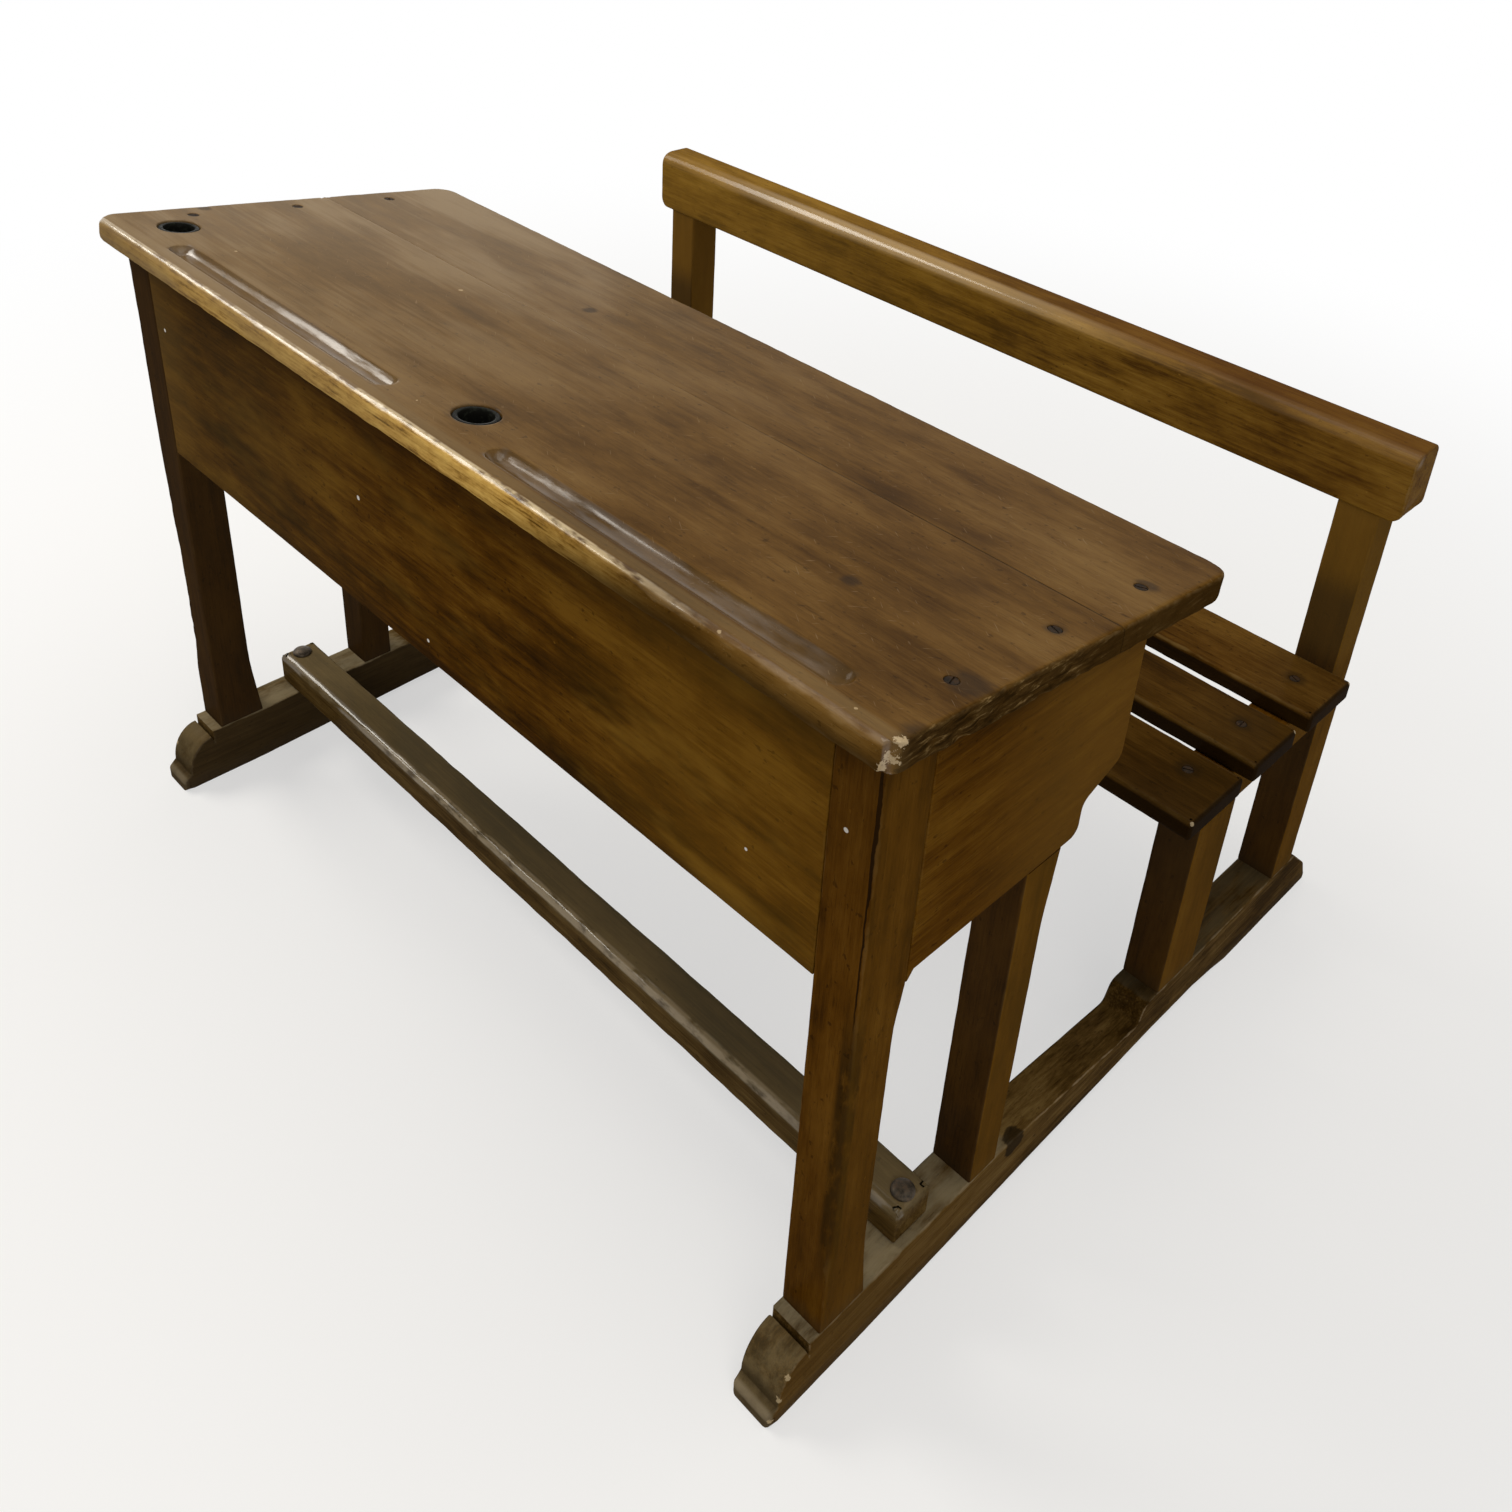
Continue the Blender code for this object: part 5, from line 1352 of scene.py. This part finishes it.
class SCHOOLDESK_OT_bench_frame(bpy.types.Operator):
    """Make the bench's posts and the rails under its seat"""

    bl_idname = "school_desk.bench_frame"
    bl_label = "Bench frame"

    def execute(self, context):
        sizes = context.scene.school_desk_sizes
        nose, tail, top = 0.411, 0.6697, 0.3097
        members = (
            ("bench_front_post", "Z", rectangle(0.456, 0.517, post_bottom, 0.2677)),
            ("bench_rear_post", "Z", rectangle(0.670, 0.710, post_bottom, 0.5017)),
            ("seat_bearer", "Y", ((nose, 0.2917, 0.004), (0.456, 0.268, 0.06), (tail, 0.268, 0),
                                  (tail, top, 0), (nose, top, 0.004))))
        for number, (node, axis, corners) in enumerate(members):
            for name, side in sides:
                post = timber(f"{node}_{name}_worn", corners,
                              *span(side, frame_inner_x, frame_outer_x), side_place,
                              sizes.post_arris, sizes.wear, 0.006, seed=25.0 + number + side)
                fit(post, frame_finish(context, axis), f"{node}_{name}")
        return {"FINISHED"}


class SCHOOLDESK_OT_seat(bpy.types.Operator):
    """Make the three slats of the seat"""

    bl_idname = "school_desk.seat"
    bl_label = "Seat slats"

    def execute(self, context):
        sizes = context.scene.school_desk_sizes
        wood = wood_finish("seat_varnish", "X", tones(context, "seat"), 13.0, sheen=0.34,
                           bare=(0.19, 0.12, 0.04), bare_share=0.4, patch=0.9, stripe=0.30,
                           coat=0.03, marks=slat_marks)
        for number, (name, front, rear, screw) in enumerate(seat_slats):
            holes = [((side * frame_middle_x, screw), pit(sizes.screw_radius, seat_top), False)
                     for _, side in sides]
            slat = timber(f"seat_slat_{name}_worn",
                          rectangle(-bench_end_x, bench_end_x, front, rear, 0.003),
                          seat_bottom, seat_top, level_place, sizes.slat_arris, sizes.wear,
                          0.007, holes=holes, seed=30.0 + number)
            fit(slat, wood, f"seat_slat_{name}")
        return {"FINISHED"}


class SCHOOLDESK_OT_backrest(bpy.types.Operator):
    """Make the backrest rail"""

    bl_idname = "school_desk.backrest"
    bl_label = "Backrest"

    def execute(self, context):
        sizes = context.scene.school_desk_sizes
        rear, bottom, top, corner = 0.713, 0.502, 0.570, 0.012

        def lower_corners(points, placed):
            """Rounds the rail's lower end corners, seen from the front."""
            rise = np.clip(placed[:, 2] - bottom, 0, corner)
            cut = corner - np.sqrt(corner ** 2 - (corner - rise) ** 2)
            near_end = smooth_steps(abs(placed[:, 0]), bench_end_x - 0.02, bench_end_x - 0.006)
            placed[:, 0] -= np.sign(placed[:, 0]) * cut * near_end
            return placed

        rail = timber("backrest_rail_worn",
                      ((rail_front, bottom, 0.002), (rear, bottom, 0.002),
                       (rear, top, sizes.rail_rear_arris),
                       (rail_front, top, sizes.rail_front_arris)),
                      -bench_end_x, bench_end_x, side_place, 0.0022, sizes.wear, 0.003, 60,
                      shape=lower_corners, seed=35.0)
        wood = wood_finish("backrest_varnish", "X", tones(context, "rail"), 16.0, sheen=0.33,
                           bare=(0.33, 0.22, 0.09), bare_share=0.4, patch=1.0, stripe=0.34,
                           coat_blur=0.16, relief=0.30, marks=rail_marks)
        fit(rail, wood, "backrest_rail")
        return {"FINISHED"}


class SCHOOLDESK_OT_screws(bpy.types.Operator):
    """Turn the countersunk screws of the top, seat and backrest"""

    bl_idname = "school_desk.screws"
    bl_label = "Screws"

    def execute(self, context):
        radius = context.scene.school_desk_sizes.screw_radius
        steel = steel_finish("old_steel", tuple(context.scene.school_desk_colours.steel),
                             (0.034, 0.0165, 0.0065), 0.0)

        def rear_place(points):
            """Places a screw that goes in from the front, its head at a low setback."""
            return front_place(points * np.array([1, 1, -1]))

        def screw(node, place, centre, top, length, turn):
            """One slotted screw, its head just under the wood's face."""
            piece = Piece()
            face, core = top - 0.0004, 0.0021
            profile = ((radius - 0.0003, face), (radius, face - 0.0003),
                       (radius, face - 0.0006), (core, face - 0.0030),
                       (core, face - length * 0.8), (0.0004, face - length))
            rings = [piece.add(ring_points(centre, r, 32), w) for r, w in profile]
            for upper, lower in zip(rings, rings[1:]):
                piece.wall(lower, upper)
            piece.faces.append(tuple(rings[-1]))
            spin = Matrix.Rotation(turn, 2)

            def slot_ring(width, reach):
                box = [(-reach, -width), (reach, -width), (reach, width), (-reach, width)]
                return np.array([tuple(spin @ Vector(b) + Vector(centre)) for b in box])

            reach = radius * 0.90
            rim, floor = slot_ring(0.0006, reach), slot_ring(0.00052, reach - 0.0001)
            piece.cap(rings[0], [], face, (rim, floor),
                      lambda ring: 0.0011 if abs(ring[0] - floor[0]).max() < 1e-9 else 0.0)
            fit(make_object(f"{node}_slotted", piece, place), steel, node)

        for number, (name, side) in enumerate(sides):
            for count, fall in enumerate(top_screw_falls, 1):
                screw(f"desktop_screw_{name}_{count}", top_place, (side * top_screw_x, fall),
                      0.0, 0.040, 0.9 * count + number)
            for count, (slat, *_, setback) in enumerate(seat_slats):
                screw(f"seat_{slat}_screw_{name}", level_place,
                      (side * frame_middle_x, setback), seat_top, 0.034, 0.5 + 1.1 * count)
            screw(f"backrest_screw_{name}", rear_place, (side * frame_middle_x, 0.513),
                  -rail_front, 0.030, 0.4)
        for node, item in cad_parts.items():
            if "nut" in node or node.startswith("cleat_screw"):
                item.data.materials.clear()
                item.data.materials.append(steel)
        return {"FINISHED"}


class SCHOOLDESK_OT_stage(bpy.types.Operator):
    """Set the floor, the soft light and the camera"""

    bl_idname = "school_desk.stage"
    bl_label = "Stage"

    def execute(self, context):
        scene = context.scene
        white, warm = (1.0, 1.0, 1.0), (1.0, 0.955, 0.87)
        mesh = bpy.data.meshes.new("studio_floor")
        reach = 9.0
        mesh.from_pydata([(u, v, 0) for u, v, _ in rectangle(-reach, reach, -reach, reach)],
                         [], [(0, 1, 2, 3)])
        floor = bpy.data.objects.new("studio_floor", mesh)
        scene.collection.objects.link(floor)
        ground = Finish(bpy.data.materials.new("pale_floor"))
        far = ground.node("ShaderNodeVectorMath", {"operation": "LENGTH"}, {
            0: ground.place})["Value"]
        plain_floor = ground.node("ShaderNodeBsdfDiffuse", {}, {
            "Color": tuple(scene.school_desk_colours.floor)})["BSDF"]
        backdrop = ground.node("ShaderNodeEmission", {}, {"Color": white})["Emission"]
        mixed = ground.node("ShaderNodeMixShader", {}, {
            0: ground.pale_rays() * (0.56 + ground.rise(far, 0.6, 2.2) * 0.44),
            1: plain_floor, 2: backdrop})["Shader"]
        ground.node("ShaderNodeOutputMaterial", {}, {"Surface": mixed})
        mesh.materials.append(ground.owner)

        for name, place, target, width, height, power in (
                ("window_light", (-2.3, -0.9, 2.4), (0, -0.1, 0.4), 1.6, 1.2, 58),
                ("low_window_light", (-3.2, 1.8, 1.0), (0, 0, 0.5), 1.5, 1.1, 6),
                ("ceiling_light", (0.5, 0.2, 3.2), (0, 0, 0.3), 2.6, 2.6, 45),
                ("room_light", (2.6, -2.0, 1.8), (0, 0, 0.3), 2.0, 1.4, 26)):
            light = bpy.data.lights.new(name, "AREA")
            light.shape, light.size, light.size_y = "RECTANGLE", width, height
            light.energy, light.color = power, warm
            lamp = bpy.data.objects.new(name, light)
            lamp.location = place
            lamp.rotation_euler = (Vector(target) - Vector(place)).to_track_quat(
                "-Z", "Y").to_euler()
            scene.collection.objects.link(lamp)

        scene.world = bpy.data.worlds.new("pale_room")
        room = Finish(scene.world)
        dim, pale = (room.node("ShaderNodeBackground", {}, {
            "Color": colour, "Strength": strength})["Background"]
            for colour, strength in (((1.0, 0.96, 0.90), 0.17), (white, 1.0)))
        mixed = room.node("ShaderNodeMixShader", {}, {0: room.pale_rays(), 1: dim, 2: pale})
        room.node("ShaderNodeOutputWorld", {}, {"Surface": mixed["Shader"]})

        bearing, tilt, roll = 0.728593451, 0.508695809, 0.079096190
        ahead = Vector((-math.sin(bearing) * math.cos(tilt), math.cos(bearing) * math.cos(tilt),
                        -math.sin(tilt)))
        level = Vector((math.cos(bearing), math.sin(bearing), 0))
        upright = level.cross(ahead)
        right = math.cos(roll) * level + math.sin(roll) * upright
        up = math.cos(roll) * upright - math.sin(roll) * level
        lens = bpy.data.cameras.new("photo_view")
        lens.lens, lens.sensor_width = 35.24, 36.0
        lens.shift_x, lens.shift_y = -0.0421, -0.2020
        camera = bpy.data.objects.new("photo_view", lens)
        turn = Matrix((right, up, -ahead)).transposed().to_4x4()
        camera.matrix_world = Matrix.Translation((0.85571, -0.86460, 1.15538)) @ turn
        scene.collection.objects.link(camera)
        scene.camera = camera
        scene.view_settings.view_transform = "Standard"
        return {"FINISHED"}


piece_operators = (
    SCHOOLDESK_OT_top, SCHOOLDESK_OT_inkwells, SCHOOLDESK_OT_front_panel,
    SCHOOLDESK_OT_end_panels, SCHOOLDESK_OT_legs, SCHOOLDESK_OT_runners,
    SCHOOLDESK_OT_compartment, SCHOOLDESK_OT_foot_bar, SCHOOLDESK_OT_bench_frame,
    SCHOOLDESK_OT_seat, SCHOOLDESK_OT_backrest, SCHOOLDESK_OT_screws, SCHOOLDESK_OT_stage)


class SCHOOLDESK_PT_panel(bpy.types.Panel):
    """The desk's pieces, sizes and colours in the sidebar"""

    bl_idname = "SCHOOLDESK_PT_panel"
    bl_label = "School desk"
    bl_space_type = "VIEW_3D"
    bl_region_type = "UI"
    bl_category = "School desk"

    def draw(self, context):
        for operator in piece_operators:
            self.layout.operator(operator.bl_idname)
        for group in (context.scene.school_desk_sizes, context.scene.school_desk_colours):
            box = self.layout.box()
            for name in group.__annotations__:
                box.prop(group, name)


classes = (SchoolDeskSizes, SchoolDeskColours, *piece_operators, SCHOOLDESK_PT_panel)


def register():
    """Makes the operators, panel and properties known."""
    for item in classes:
        bpy.utils.register_class(item)
    bpy.types.Scene.school_desk_sizes = PointerProperty(type=SchoolDeskSizes)
    bpy.types.Scene.school_desk_colours = PointerProperty(type=SchoolDeskColours)


def unregister():
    """Takes them away again."""
    del bpy.types.Scene.school_desk_colours
    del bpy.types.Scene.school_desk_sizes
    for item in reversed(classes):
        bpy.utils.unregister_class(item)


def main():
    """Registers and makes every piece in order."""
    register()
    for operator in piece_operators:
        group, name = operator.bl_idname.split(".")
        getattr(getattr(bpy.ops, group), name)()


if __name__ == "__main__":
    main()
